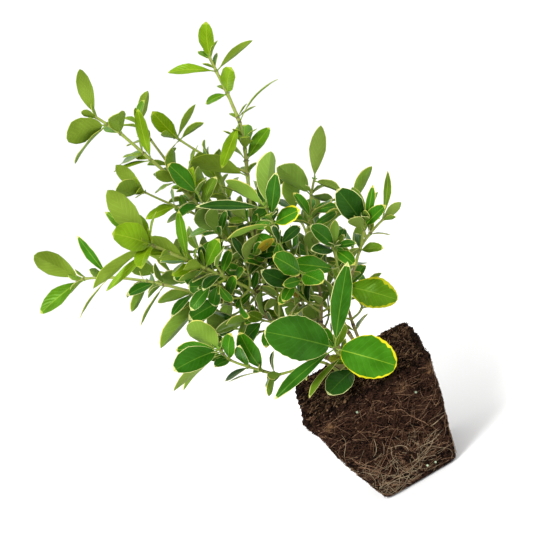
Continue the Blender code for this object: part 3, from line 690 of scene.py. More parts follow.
def smooth(points, steps):
    """A smooth line through the points, with some steps from each to the next."""
    points = [Vector(p) for p in points]
    ends = [2 * points[0] - points[1], *points, 2 * points[-1] - points[-2]]
    line = []
    for before, here, there, after in zip(ends, ends[1:], ends[2:], ends[3:]):
        for step in range(steps):
            t = step / steps
            line.append(0.5 * (2 * here + (there - before) * t
                               + (2 * before - 5 * here + 4 * there - after) * t * t
                               + (3 * here - before - 3 * there + after) * t ** 3))
    return [*line, points[-1]]


class Axis:
    """The axis of a limb or twig, with its radius all along."""

    def __init__(self, line, foot_radius, tip_radius, foot_direction=None):
        self.line = line
        self.lengths = [0]
        for a, b in zip(line, line[1:]):
            self.lengths.append(self.lengths[-1] + (b - a).length)
        self.foot_radius = foot_radius
        self.tip_radius = tip_radius
        self.foot_direction = foot_direction

    def at(self, share):
        """The point, direction and radius at a share of the way up."""
        aim = share * self.lengths[-1]
        span = max(i for i in range(len(self.line) - 1) if self.lengths[i] <= aim or i == 0)
        a, b = self.line[span], self.line[span + 1]
        point = a.lerp(b, (aim - self.lengths[span]) / (b - a).length)
        return point, (b - a).normalized(), self.foot_radius + (self.tip_radius - self.foot_radius) * share

    def nearest(self, point):
        """The share of the way up at which the axis comes nearest to a point."""
        return min((i / 200 for i in range(201)), key=lambda share: (self.at(share)[0] - point).length)

    def centre_near(self, point):
        """The point of the axis that is nearest to another."""
        return self.at(self.nearest(point))[0]


def ring_faces(rings, sides):
    """The faces of a closed tube whose points are rings: its two ends, then its sides from ring to ring."""
    faces = [tuple(range(sides))[::-1], tuple(range((rings - 1) * sides, rings * sides))]
    for i in range(rings - 1):
        for k in range(sides):
            a, b = i * sides + k, i * sides + (k + 1) % sides
            faces.append((a, b, b + sides, a + sides))
    return faces


def rod(line, radii, sides, foot_direction=None):
    """A closed tube along a line, with its radius at each point of the line."""
    points, count = [], len(line)
    side = None
    for i, centre in enumerate(line):
        ahead = line[min(i + 1, count - 1)] - line[max(i - 1, 0)]
        if i == 0 and foot_direction:
            ahead = foot_direction
        ahead = ahead.normalized()
        side = square_to(side or (Vector((1, 0, 0)) if abs(ahead.x) < 0.9 else Vector((0, 1, 0))), ahead)
        points += [centre + rotated(side, ahead, 360 * k / sides) * radii[i] for k in range(sides)]
    return points, ring_faces(count, sides)


def tube(axis, sides):
    """The plain tapering tube that stands for a limb or twig in the part."""
    radii = [axis.foot_radius + (axis.tip_radius - axis.foot_radius) * length / axis.lengths[-1]
             for length in axis.lengths]
    return rod(axis.line, radii, sides, axis.foot_direction)


def blade_share(u, fullness=0.75, lean=1.15):
    """How wide a blade is at a share of its length, against its greatest width."""
    return math.sin(math.pi * min(max(u, 0), 1) ** lean) ** fullness if 0 < u < 1 else 0


class Leaf:
    """A leaf: where it stands, its reach, the way its upper side faces, and how it bends and folds."""

    def __init__(self, base, reach, face, width, bend, fold):
        self.base = base
        self.length = reach.length
        self.ahead = reach.normalized()
        self.face = square_to(face, self.ahead)
        self.width = width
        self.bend = math.radians(bend)
        self.fold = math.radians(fold)

    def frame(self, t):
        """At a share of its length, the midrib's point and the directions out to its side and up from it."""
        bow = self.face * self.length * self.bend / 2 * t * (1 - t)
        point = self.base + self.ahead * self.length * t + bow
        up = (self.face - self.ahead * self.bend / 2 * (1 - 2 * t)).normalized()
        return point, up.cross(self.ahead).normalized(), up

    def solid(self, start=0.0, grow=0.0):
        """A closed lens-shaped blade on its stalk, from a share of its length on, grown all round."""
        cuts = (0.3, 0.65, 0.9) if self.length > LONG_LEAF else (0.35, 0.8)
        stations = [(t, 0) for t in (0, LEAF_STALK) if t >= start]
        stations += [(LEAF_STALK + (1 - LEAF_STALK) * u, blade_share(u)) for u in cuts]
        points = []
        for t, share in stations:
            centre, side, up = self.frame(t)
            half = max(share * FULLNESS * self.width / 2, STALK_RADIUS) + grow
            out = side * half * math.cos(self.fold)
            lift = up * half * math.sin(self.fold) * (share > 0)
            thick = LEAF_THICKNESS / 2 if share else STALK_RADIUS
            points += [centre - out + lift, centre - up * (thick + grow), centre + out + lift,
                       centre + up * (thick + grow)]
        tip = self.frame(1)[0] + self.ahead * grow
        faces = ring_faces(len(stations), 4)
        faces.pop(1)
        last = 4 * (len(stations) - 1)
        faces += [(last + k, last + (k + 1) % 4, len(points)) for k in range(4)]
        return [*points, tip], faces


def tree_of(shape):
    points, faces = shape
    return BVHTree.FromPolygons(points, faces), bounds(points)


def bounds(points):
    low = Vector([min(p[i] for p in points) for i in range(3)])
    high = Vector([max(p[i] for p in points) for i in range(3)])
    return low, high


def touch(one, other):
    """Whether two shapes, each a search tree with its bounds, cross."""
    (tree_a, (low_a, high_a)), (tree_b, (low_b, high_b)) = one, other
    if any(low_a[i] > high_b[i] or low_b[i] > high_a[i] for i in range(3)):
        return False
    return bool(tree_a.overlap(tree_b))


def seat_on(parent, first, ahead_point, radius):
    """Where a limb's foot stands on its parent: end to end at the parent's tip, and else on its side."""
    share = parent.nearest(first)
    centre, direction, parent_radius = parent.at(share)
    if share > 0.99:
        return centre + direction * GAP, direction
    ahead = (ahead_point - centre).normalized()
    out = square_to(ahead, direction)
    return centre + out * (parent_radius + GAP + radius * abs(ahead.dot(direction))), ahead


def grow_limbs():
    """The axes of the stems and boughs, by name."""
    axes = {}
    for name, (carrier, points, foot, tip, _) in LIMBS.items():
        line = smooth(points, LIMB_STEPS)
        if carrier == "root-ball":
            line[0] = Vector((*line[0].xy, BALL_HEIGHT + GAP))
            axes[name] = Axis(line, foot, tip, Vector((0, 0, 1)))
            continue
        line[0], direction = seat_on(axes[carrier], line[0], line[2], foot)
        axes[name] = Axis(line, foot, tip, direction)
    return axes


def grow_twigs(limbs):
    """The axes of each mass's twigs: the first stands on its limb, the rest start inside the first."""
    masses = {}
    for name, (carrier, _, twigs) in FOLIAGE.items():
        axes = []
        for points, radius, _, _ in twigs:
            line = smooth(points, TWIG_STEPS)
            direction = None
            if not axes:
                line[0], direction = seat_on(limbs[carrier], line[0], line[1], radius)
            else:
                line[0] = axes[0].centre_near(line[0])
            axes.append(Axis(line, radius, radius * TWIG_TIP, direction))
        masses[name] = axes
    return masses


def pair_turn(first, place, half):
    """How far a leaf of a pair is turned about its twig, a quarter turn on from the pair below."""
    return first + QUARTER_TURN * (place + 2 * half)


def rule_leaf(axis, share, turn, length, chance):
    """The reach and the face of a leaf that stands on its twig by the rule of opposite pairs."""
    _, direction, _ = axis.at(share)
    sideways = direction.cross(Vector((0, 1, 0)))
    sideways = square_to(sideways if sideways.length > 0.1 else Vector((1, 0, 0)), direction)
    sideways = rotated(sideways, direction, turn + chance.uniform(-TURN_PLAY, TURN_PLAY))
    opening = OPEN_AT_FOOT + (OPEN_AT_TIP - OPEN_AT_FOOT) * share
    opening = math.radians(opening + chance.uniform(-OPENING_PLAY, OPENING_PLAY))
    reach = (direction * math.cos(opening) + sideways * math.sin(opening)) * length
    return reach, direction * math.sin(opening) - sideways * math.cos(opening)


def place_leaves(twigs, solids):
    """All the leaves, each with its mass, twig, pair and half. Those with a reach of their own come first."""
    leaves = []
    for by_rule in (False, True):
        for name, (_, _, shoots) in FOLIAGE.items():
            for number, (axis, (_, _, turn, pairs)) in enumerate(zip(twigs[name], shoots)):
                for place, (share, *pair) in enumerate(pairs):
                    for half, given in enumerate(pair):
                        if isinstance(given, tuple) == by_rule:
                            continue
                        chance = random.Random(f"{name} {number} {place} {half}")
                        its_turn = pair_turn(turn, place, half)
                        leaf = fit_leaf(name, axis, share, its_turn, given, chance, solids)
                        if leaf:
                            leaves.append(((name, number, place, half), leaf))
    return leaves


def fit_leaf(name, axis, share, turn, given, chance, solids, clearance=CLEARANCE):
    """The first way of standing in which a leaf touches nothing, or None. The leaf then joins the solids."""
    centre, direction, _ = axis.at(share)
    base = centre - direction * SUNK * (share > 0.95)
    if isinstance(given, tuple):
        reach = Vector(given[:3])
        front = given[3] if len(given) > 3 else 0
        face = direction + Vector((0, -front * FACING, 0.4))
        width = given[4] if len(given) > 4 else reach.length * LEAF_WIDTH * chance.uniform(*OWN_WIDTHS)
    else:
        reach, face = rule_leaf(axis, share, turn, given, chance)
        width = given * LEAF_WIDTH * chance.uniform(*RULE_WIDTHS)
    bend, fold = chance.uniform(*BEND), chance.uniform(*FOLD)
    for spin, lift, size in TRIES:
        hinge = reach.cross(direction).normalized()
        trial = rotated(rotated(reach, direction, spin), hinge, lift) * size
        upper = rotated(rotated(face, direction, spin), hinge, lift)
        leaf = Leaf(base, trial, upper, width * size, bend, fold)
        whole = tree_of(leaf.solid(grow=clearance))
        blade = tree_of(leaf.solid(start=CLEAR_OF_TWIG, grow=clearance))
        if not any(touch(blade, clear) if other == name else touch(whole, full)
                   for other, full, clear in solids):
            solids.append((name, tree_of(leaf.solid()), tree_of(leaf.solid(start=CLEAR_OF_TWIG))))
            return leaf
    return None


def root_ball_shape():
    """The plain block that stands for the root ball in the part."""
    levels = [(0, BALL_FOOT / 2 - FOOT_ROUNDING), (FOOT_ROUNDING, BALL_FOOT / 2 + 1)]
    levels += [(z, ball_half(z)) for z in (BALL_HEIGHT * 0.3, BALL_HEIGHT * 0.6)]
    levels += [(BALL_HEIGHT - RIM_ROUNDING, BALL_TOP / 2), (BALL_HEIGHT, BALL_TOP / 2 - RIM_ROUNDING)]
    points = []
    for z, half in levels:
        for k in range(BALL_SIDES):
            turn = 2 * math.pi * k / BALL_SIDES
            across, along = math.cos(turn), math.sin(turn)
            size = half + ball_lump(turn, z)
            points.append(Vector((size * math.copysign(abs(across) ** (2 / BALL_SQUARENESS), across),
                                  size * math.copysign(abs(along) ** (2 / BALL_SQUARENESS), along), z)))
    return points, ring_faces(len(levels), BALL_SIDES)


def ball_half(z):
    """Half the ball's width at a height."""
    return BALL_FOOT / 2 + (BALL_TOP - BALL_FOOT) / 2 * (max(z, 0) / BALL_HEIGHT) ** 0.85


def ball_lump(turn, z):
    """How far the ball stands out or in at a turn about its axis and a height."""
    return BALL_LUMPS * math.sin(3 * turn + z / 17) * math.sin(math.pi * z / BALL_HEIGHT)


# Finishes


def make_finishes():
    for tone, colours in TONES.items():
        for (skin, looks), colour in zip(SKINS.items(), colours):
            FINISHES[f"{tone}-{skin}"] = leaf_finish(f"{tone}-{skin}", colour, *looks)
    FINISHES["stalk"] = leaf_finish("stalk", (0.20, 0.30, 0.04), 0.5, 0.12, 0.0)
    FINISHES["bud"] = leaf_finish("bud", (0.13, 0.26, 0.025), 0.45, 0.2, 0.0)
    for name, looks in BARKS.items():
        FINISHES[name] = bark_finish(name, *looks)
    FINISHES["peat"] = peat_finish()
    for name, colour in GRAINS.items():
        FINISHES[name] = grain_finish(name, colour)


def leaf_finish(name, colour, roughness, variation, relief):
    """A leaf's skin: its colour in soft clouds, a gloss that varies, and veins where it has relief."""
    finish = Finish(name, roughness, Specular_IOR_Level=LEAF_SHEEN, Specular_Tint=SHEEN_TINT)
    clouds = finish.noise(70, 2)
    deeper = tuple(c * (1 - variation) for c in colour)
    paler = tuple(min(c * (1 + variation) + 0.005, 1) for c in colour)
    skin = finish.mixed(clouds.steps_up(0.3, 0.7), deeper, paler)
    finish.rough(roughness + finish.noise(400) * 0.16 - 0.08)
    if relief:
        blade = finish.node("ShaderNodeUVMap", {"uv_map": "blade"})
        across, along = (finish.node("ShaderNodeSeparateXYZ", None, {0: blade}, output=k) for k in (0, 1))
        veins = ((along - abs(across - 0.5) * VEIN_SLANT + finish.noise(300) * 0.05) * VEIN_COUNT).sine()
        fine = veins.steps_up(0.82, 0.99)
        skin = finish.mixed(fine * VEIN_PALENESS, skin, tuple(min(c * 2.2 + 0.03, 1) for c in colour))
        finish.raised(veins * 0.2 + finish.noise(500) * 0.5, relief, 0.7)
    finish.coloured(skin)
    return finish.material


def bark_finish(name, colour, streak, roughness):
    """Young bark: its colour streaked and dotted with another, with fine relief."""
    finish = Finish(name, roughness)
    clouds = finish.noise(260, 4, 0.6)
    dots = 1 - finish.cells(900).steps_up(0.1, 0.35)
    finish.coloured(finish.mixed(clouds.steps_up(0.42, 0.68) * 0.8 + dots * 0.2, colour, streak))
    finish.rough(roughness - 0.1 + clouds * 0.2)
    finish.raised(clouds * 0.6 + dots * 0.4, 0.25, 0.7)
    return finish.material


def peat_finish():
    """Dark crumbly peat with red-brown fibres, painted shade round the stems' feet and dry tan patches."""
    finish = Finish("peat", 0.95, Specular_IOR_Level=SOIL_SHEEN)
    crumbs = finish.cells(650)
    clods = finish.noise(240, 5, 0.65)
    dark = finish.mixed(clods.steps_up(0.44, 0.60), (0.0015, 0.0010, 0.0008), (0.022, 0.0105, 0.0068))
    fibre = finish.noise(1100, 4, 0.8).steps_up(0.54, 0.64) * 0.85
    base = finish.mixed(fibre, dark, (0.095, 0.045, 0.024))
    # Painted shade: the peat is drawn near black round the stems' feet, where the leaves shade it
    base = finish.mixed(finish.near(PAINTED_STEM_SHADE, PAINTED_STEM_SHADE_RADIUS) * 0.8, base, (0.0035, 0.0024, 0.0017))
    dry = finish.noise(500, 3, 0.7).steps_up(0.40, 0.62)
    for patch in DRY_PATCHES:
        base = finish.mixed(finish.near(patch, DRY_RADIUS) * dry, base, (0.19, 0.105, 0.05))
    finish.coloured(base)
    finish.rough(0.85 + clods * 0.15)
    finish.raised((1 - crumbs.steps_up(0.0, 0.8)) * 0.5 + clods * 0.5, 1.2, 1.0)
    return finish.material


def grain_finish(name, colour):
    """Dry rootlets, crumbs and beads: one colour, a little darker in places."""
    finish = Finish(name, 0.85, Specular_IOR_Level=SOIL_SHEEN)
    clouds = finish.noise(350, 3, 0.6)
    finish.coloured(finish.mixed(clouds.steps_up(0.3, 0.65), tuple(c * 0.5 for c in colour), colour))
    finish.rough(0.75 + clouds * 0.2)
    finish.raised(clouds, 0.2, 0.6)
    return finish.material


# Pieces


def add_blade(bunch, leaf, tone, chance):
    """Gathers a leaf: a thin closed blade with its margins, midrib and underside, on a stalk."""
    rows, cuts = blade_cuts(leaf)
    margins = [edge * min(leaf.length / FULL_EDGED_LEAF, 1) for edge in TONES[tone][4:]]
    points, places = blade_points(leaf, rows, cuts, margins, chance)
    faces, finishes = blade_faces(rows, len(cuts) + 1, tone)
    bunch.add((points, faces), finishes, places)
    stalk = [leaf.frame(t)[0] for t in (0, LEAF_STALK / 2, LEAF_STALK + 0.02)]
    slim = min(PETIOLE_RADIUS, 0.25 + leaf.width / 30)
    bunch.add(rod(stalk, [slim * 1.2, slim, slim], PETIOLE_SIDES), "stalk")


def blade_cuts(leaf):
    """How many rows of faces a blade has, and where each half of it is cut from midrib to margin."""
    if leaf.width > BROAD_LEAF:
        return 22, (0.3, 0.6, 0.82)
    if leaf.length > LONG_LEAF:
        return 10, (0.55,)
    return (7, (0.55,)) if leaf.length > SMALL_LEAF else (5, ())


def blade_points(leaf, rows, cuts, margins, chance):
    """A blade's points, row by row from its foot, its upper side first, and where each is on the blade."""
    narrow, wide = margins
    fullness = 0.82 - 0.5 * min(leaf.width / leaf.length, 0.7)
    wave, phase = chance.uniform(0.02, 0.13), chance.uniform(0, 6)
    droop, cup = chance.uniform(0.05, 0.3), chance.uniform(-0.12, 0.16)
    points, places, blotches = [], [], [0.3, 0.3]
    for i in range(rows + 1):
        u = 0.3 * (1 - math.cos(math.pi * i / rows)) + 0.4 * i / rows
        centre, side, up = leaf.frame(LEAF_STALK + (1 - LEAF_STALK) * u)
        half = max(blade_share(u, fullness) * leaf.width / 2, BLADE_TIP if i else BLADE_FOOT)
        if TEETH_FROM < u < 1 and i % 2:
            half *= TOOTH
        greens = []
        for half_blade in range(2):
            blotches[half_blade] += (chance.random() ** 1.5 - blotches[half_blade]) * 0.55
            edge = narrow + (wide - narrow) * blotches[half_blade] * (0.25 + 1.2 * u * u)
            greens.append(max(1 - edge / half, LEAST_GREEN))
        rib = min(RIB_HALF / half, 0.25) * (1.1 - 0.6 * u)
        left = [-1, *(-greens[0] * cut for cut in (1, *cuts[::-1]))]
        right = [*(greens[1] * cut for cut in (*cuts, 1)), 1]
        above = [*left, -rib, rib, *right]
        below = [*left[1:], 0, *right[:-1]]
        for s in (*above, *below):
            beyond = max(abs(s) - 0.6, 0) / 0.4
            ripple = wave * math.sin(9 * u + phase + (s > 0) * 2) * abs(s)
            rise = abs(s) * math.sin(leaf.fold) + cup * s * s - droop * 0.3 * beyond + ripple
            points.append(centre + side * half * s * math.cos(leaf.fold) + up * half * rise)
            places.append((0.5 + 0.5 * s, u))
        for k, s in enumerate(below, len(points) - len(below)):
            points[k] -= up * (BLADE_THICKNESS + (RIB_DEPTH if s == 0 and half > 1.5 else 0))
    return points, places


def blade_faces(rows, strips, tone):
    """A blade's faces and their finishes, where each half of it has so many strips of green."""
    kinds = ["margin", *["upper"] * strips, "rib", *["upper"] * strips, "margin"]
    under_kinds = ["margin", *["under"] * 2 * strips, "margin"]
    ring = 2 * len(kinds) - 1
    under_ring = [len(kinds), *range(ring - 1, len(kinds), -1), 0]
    faces, finishes = [], []
    for i in range(rows):
        tip_row = i == rows - 1
        for k, kind in enumerate(kinds):
            a, b = i * ring + k, i * ring + k + 1
            faces.append((a, b, b + ring, a + ring))
            finishes.append(f"{tone}-{'margin' if tip_row and kind != 'rib' else kind}")
        for k, j, kind in zip(under_ring, under_ring[1:], under_kinds):
            a, b = i * ring + k, i * ring + j
            faces.append((a, b, b + ring, a + ring))
            finishes.append(f"{tone}-{kind}")
    whole_ring = [*range(len(kinds) + 1), *under_ring[1:-1]]
    faces.append(tuple(whole_ring[::-1]))
    faces.append(tuple(rows * ring + k for k in whole_ring))
    return faces, [*finishes, f"{tone}-rib", f"{tone}-margin"]


def add_bud(bunch, base, direction, length):
    """Gathers a pointed bud of two scales."""
    steps = ((0, 0.6), (0.25, 1.0), (0.6, 0.8), (0.85, 0.35), (1, 0.05))
    line = [base + direction * length * t for t, _ in steps]
    bunch.add(rod(line, [length * 0.26 * share for _, share in steps], 6), "bud")


def add_bark(bunch, axis, bark, sides, nodes, flare, root=None, slimness=1.0):
    """Gathers a limb in its bark: ringed, swollen nodes, furrows, a flared foot and a root in its carrier."""
    length = axis.lengths[-1]
    count = max(int(length / BARK_STEP), 4)
    line, radii, kinds = [], [], []
    for i in range(count + 1):
        share = i / count
        point, _, radius = axis.at(share)
        near = min((abs(share - node) * length for node in nodes), default=length)
        swell = 1 + NODE_SWELL * math.exp(-(near / NODE_LENGTH) ** 2)
        spread = 1 + (flare - 1) * math.exp(-share * length / FLARE_LENGTH)
        line.append(point)
        radii.append(radius * swell * spread * slimness)
        kinds.append(f"{bark}-node" if near < NODE_RING else f"{bark}-bark")
    line = smooth_out(line)
    if root:
        line.insert(0, root)
        radii.insert(0, radii[0] * 1.1)
        kinds.insert(0, f"{bark}-bark")
    points, faces = rod(line, radii, sides, axis.foot_direction)
    for i, point in enumerate(points):
        out = (point - line[i // sides]).normalized()
        furrow = noise.noise(Vector((point.x * 0.9, point.y * 0.9, point.z * 0.35)))
        points[i] = point + out * radii[i // sides] * FURROW_DEPTH * furrow
    finishes = [f"{bark}-bark"] * 2
    for kind in kinds[:-1]:
        finishes += [kind] * sides
    bunch.add((points, faces), finishes)


def smooth_out(line):
    """A line with its small kinks evened, between the same ends."""
    for _ in range(2):
        line = [line[0], *((a + 2 * b + c) / 4 for a, b, c in zip(line, line[1:], line[2:])), line[-1]]
    return line


def squared(across, along):
    """The point of a rounded square in a given direction, which reaches half a width of one."""
    size = (abs(across) ** SHARP_SQUARENESS + abs(along) ** SHARP_SQUARENESS) ** (1 / SHARP_SQUARENESS)
    return across / size, along / size


def ball_point(turn, z, proud=0.0):
    """A point on the ball's side, and the direction out of it."""
    across, along = squared(math.cos(turn), math.sin(turn))
    size = ball_half(z) + ball_lump(turn, z) + rim_flare(turn, z) + proud
    out = Vector((math.copysign(abs(across) ** 7, across), math.copysign(abs(along) ** 7, along), 0.0))
    return Vector((size * across, size * along, z)), (out.normalized() - Vector((0, 0, 0.25))).normalized()


def rim_flare(turn, z):
    """How far the ball's ragged rim stands out beyond its solid."""
    rise = max(z - BALL_HEIGHT + RIM_DEPTH, 0) / RIM_DEPTH
    return RIM_FLARE * rise * rise * (3 - 2 * rise) * (0.75 + 0.25 * math.sin(5 * turn + 1))


def make_peat():
    """The block of peat, from a cube that is divided finely, drawn in to its foot and roughened."""
    bpy.ops.object.select_all(action="DESELECT")
    bpy.ops.mesh.primitive_cube_add(size=2)
    peat = bpy.context.object
    bpy.ops.object.mode_set(mode="EDIT")
    bpy.ops.mesh.select_all(action="SELECT")
    bpy.ops.mesh.subdivide(number_cuts=PEAT_CUTS)
    bpy.ops.object.mode_set(mode="OBJECT")
    peat.name = peat.data.name = "peat"
    for vertex in peat.data.vertices:
        vertex.co = peat_point(vertex.co) * MM
    peat.data.materials.append(FINISHES["peat"])
    smooth_by_angle(peat, 180)
    mount(peat, "peat", "root-ball")


def peat_point(corner):
    """Where a point of the cube goes on the block of peat, in millimetres."""
    z = (corner.z + 1) / 2 * BALL_HEIGHT
    spread = max(abs(corner.x), abs(corner.y))
    turn = math.atan2(corner.y, corner.x)
    across, along = squared(corner.x, corner.y) if spread > 1e-6 else (0, 0)
    half = ball_half(z) + ball_lump(turn, z) + rim_flare(turn, z)
    for edge, rounding in ((BALL_HEIGHT - z, RIM_WEAR), (z, FOOT_ROUNDING)):
        if edge < rounding:
            half -= rounding - math.sqrt(rounding ** 2 - (rounding - edge) ** 2)
    place = Vector((across * half * spread, along * half * spread, z))
    if z < 0.01:
        return place
    rough = noise.fractal(place * 0.16, 0.8, 2.1, 4) * CLOD_HEIGHT + noise.noise(place * 0.5) * GRAIN_HEIGHT
    if spread > 0.999:
        out = Vector((across, along, 0)).normalized()
        return place + out * rough * min(z / SMOOTH_FOOT, 1)
    mound = MOUND_SWING * noise.noise(place * 0.09) + MOUND_HEIGHT
    return place + Vector((0, 0, rough * 1.3 + mound * (1 - spread)))


def make_crumbs():
    """Crumbs of peat and bark, short fibres on the ball's top, and beads of slow feed on its sides."""
    chance = random.Random("crumbs")
    bunch = Bunch()
    for _ in range(TOP_CRUMBS):
        x, y = chance.uniform(-1, 1) * CRUMB_REACH, chance.uniform(-1, 1) * CRUMB_REACH
        place = Vector((x, y, BALL_HEIGHT + chance.uniform(-0.4, 1.6)))
        add_crumb(bunch, place, 0.4 + 1.5 * chance.random() ** 2, chance)
    for _ in range(SIDE_CRUMBS):
        turn = chance.uniform(0, 2 * math.pi)
        place, _ = ball_point(turn, BALL_HEIGHT * (1 - chance.random() ** 1.3 * 0.95), 0.1)
        add_crumb(bunch, place, 0.3 + 0.9 * chance.random() ** 2, chance)
    for _ in range(TOP_FIBRES):
        add_fibre(bunch, chance)
    for turn, z in FEED_BEADS:
        place, _ = ball_point(turn, z, 0.8)
        bunch.add(pebble(place, BEAD_RADIUS, chance, 0.05), "feed-bead")
    bunch.piece("crumbs", "peat")


def add_crumb(bunch, place, size, chance):
    """Gathers one crumb: dry bark, dark peat or brown fibre."""
    dry = chance.random() < DRY_SHARE
    kind = "dry-crumb" if dry else "crumb" if chance.random() < DARK_SHARE else "brown-root"
    bunch.add(pebble(place, size, chance, 0.35, chance.uniform(0.35, 0.8)), kind)


def pebble(place, size, chance, roughness, slimness=1.0):
    """A small uneven lump, longer one way where it is slim."""
    way = Vector((chance.gauss(0, 1), chance.gauss(0, 1), chance.gauss(0, 1))).normalized()
    points = []
    for corner in LUMP_CORNERS:
        out = corner * size * (1 + chance.uniform(-roughness, roughness))
        points.append(place + out * slimness + way * out.dot(way) * (1 - slimness))
    return points, LUMP_FACES


def add_fibre(bunch, chance):
    """Gathers one short bent fibre on the ball's top."""
    x, y = chance.uniform(-1, 1) * FIBRE_REACH, chance.uniform(-1, 1) * FIBRE_REACH
    start = Vector((x, y, BALL_HEIGHT + chance.uniform(0, 1.5)))
    run = Vector((chance.uniform(-1, 1), chance.uniform(-1, 1), chance.uniform(-0.3, 0.3))).normalized()
    length = chance.uniform(2, 6)
    bend = Vector((-run.y, run.x, 0.3)) * chance.uniform(-1, 1)
    line = [start, start + run * length / 2 + bend, start + run * length]
    bunch.add(rod(line, FIBRE_RADII, 3), chance.choice(FIBRE_KINDS))


def make_rootlets():
    """Rootlets matted over the ball's sides: pale and dense near its foot, sparse and brown near its rim."""
    chance = random.Random("rootlets")
    bunch = Bunch()
    for number in range(ROOTLETS):
        turn = chance.uniform(0, 2 * math.pi)
        z = BALL_HEIGHT * (0.03 + 0.94 * chance.random() ** 0.75)
        low = z < BALL_HEIGHT * chance.uniform(0.25, 0.6)
        long = low and number % LONG_EVERY == 0
        steep = long and number % STEEP_EVERY == 0
        if steep:
            turn = chance.uniform(*STEEP_TURNS)
        length = chance.uniform(*(LONG_ROOTLET if long else SHORT_ROOTLET))
        heading = chance.gauss(-math.pi / 2, 0.4) if steep else chance.uniform(-math.pi, math.pi)
        radius = chance.uniform(*(LONG_RADIUS if long else SHORT_RADIUS))
        kind = chance.choice(LOW_ROOTS if low else HIGH_ROOTS)
        add_rootlet(bunch, chance, turn, z, length, radius, kind, heading)
    bunch.piece("rootlets", "peat")


def add_rootlet(bunch, chance, turn, z, length, radius, kind, heading):
    """Gathers one rootlet that wanders over the ball's side."""
    line = []
    for step in range(int(length / ROOTLET_STEP) + 3):
        point, out = ball_point(turn, z)
        line.append(point + out * (0.55 + 0.55 * math.sin(step * 0.9 + turn * 7)))
        heading += chance.uniform(-ROOTLET_WANDER, ROOTLET_WANDER)
        turn += math.cos(heading) * ROOTLET_STEP / ball_half(z)
        z += math.sin(heading) * ROOTLET_STEP
        if not ROOTLET_MARGIN < z < BALL_HEIGHT - ROOTLET_MARGIN:
            break
    if len(line) > 2:
        radii = [radius * (1 - 0.6 * i / len(line)) for i in range(len(line))]
        bunch.add(rod(smooth_out(line), radii, 3), kind)


def make_stems(limbs):
    """The stems and boughs with their bark, joined by bark."""
    for bark in ("brown", "green"):
        bunch = Bunch()
        names = [name for name in LIMBS if LIMBS[name][4] == bark]
        for name in names:
            axis, carrier = limbs[name], LIMBS[name][0]
            nodes = [d / axis.lengths[-1] for d in range(FIRST_NODE, int(axis.lengths[-1]), NODE_SPACING)]
            if carrier == "root-ball":
                root, flare = axis.line[0] - Vector((0, 0, ROOT_DEPTH)), ROOT_FLARE
            else:
                root, flare = limbs[carrier].centre_near(axis.line[0]), BOUGH_FLARE
            add_bark(bunch, axis, bark, LIMB_BARK_SIDES, nodes, flare, root, LIMB_SLIMNESS)
        bunch.piece(f"{bark}-stems", f"{bark}-bark", *names)


def make_twigs(limbs, twigs, shoots, buds):
    """The twigs of all the masses and the finer shoots, ringed at each pair of leaves."""
    bunch = Bunch()
    for name, axes in twigs.items():
        carrier, _, its_twigs = FOLIAGE[name]
        for number, (axis, (_, _, _, pairs)) in enumerate(zip(axes, its_twigs)):
            nodes = sorted({share for share, *_ in pairs})
            root = None if number else limbs[carrier].centre_near(axis.line[0])
            add_bark(bunch, axis, "green", TWIG_BARK_SIDES, nodes, TWIG_FLARE, root)
            add_tip_bud(buds, axis, TWIG_BUD)
    for axis in shoots:
        add_bark(bunch, axis, "green", SHOOT_BARK_SIDES, [share for share, _ in SHOOT_LEAVES], BOUGH_FLARE)
        add_tip_bud(buds, axis, SHOOT_BUD)
    bunch.piece("twigs", "green-bark")


def add_tip_bud(buds, axis, length):
    tip, direction, _ = axis.at(1)
    add_bud(buds, tip - direction * 0.5, direction, length)


def grow_shoots(limbs):
    """The axes of the finer shoots, each with its limb, by the same rule as the leaves."""
    shoots = []
    for name, (first, last, count, length) in SHOOTS.items():
        for place in range(count):
            share = first + (last - first) * place / (count - 1)
            start = limbs[name].at(share)[0]
            for half in range(2):
                chance = random.Random(f"shoot {name} {place} {half}")
                reach, _ = rule_leaf(limbs[name], share, pair_turn(25, place, half),
                                     length * chance.uniform(0.7, 1.2), chance)
                middle = start + reach * 0.5 - Vector((0, 0, 1))
                tip = start + reach + Vector((0, 0, 0.25 * length))
                shoots.append((name, Axis(smooth([start, middle, tip], 3), 0.8, 0.6)))
    return shoots


def make_leaves(limbs, twigs, shoots, buds):
    """The leaves, joined by slot: the part's own, then the finer shoots', then small ones where room is left.

    What comes back is the shoots that grew more than one leaf.
    """
    solids = wood_solids(limbs, twigs)
    bunches = {slot: Bunch() for slot in SLOT_TONES}
    for place, leaf in place_leaves(twigs, solids):
        slot = FOLIAGE[place[0]][1]
        chance = random.Random(f"blade {place}")
        tone = chance.choice(SLOT_TONES[slot])
        if place in OWN_TONES:
            tone, share = OWN_TONES[place]
            leaf.width *= share
        add_blade(bunches[slot], leaf, tone, chance)
    leafy = []
    for number, (name, axis) in enumerate(shoots):
        slot = filling_slot(name)
        if fill_shoot(number, axis, solids, bunches[slot], SLOT_TONES[slot]) > 1:
            leafy.append(axis)
    for name in FILL:
        slot = filling_slot(name)
        fill_limb(name, limbs[name], solids, bunches[slot], SLOT_TONES[slot])
    for name, axes in twigs.items():
        slot = FOLIAGE[name][1]
        for axis, (_, _, turn, pairs) in zip(axes, FOLIAGE[name][2]):
            fill_twig(name, axis, turn, pairs, solids, bunches[slot], buds, SLOT_TONES[slot])
    for slot, bunch in bunches.items():
        nodes = [name for name, (_, its_slot, _) in FOLIAGE.items() if its_slot == slot]
        bunch.piece(slot.replace("leaf", "leaves"), slot, *nodes)
    return leafy


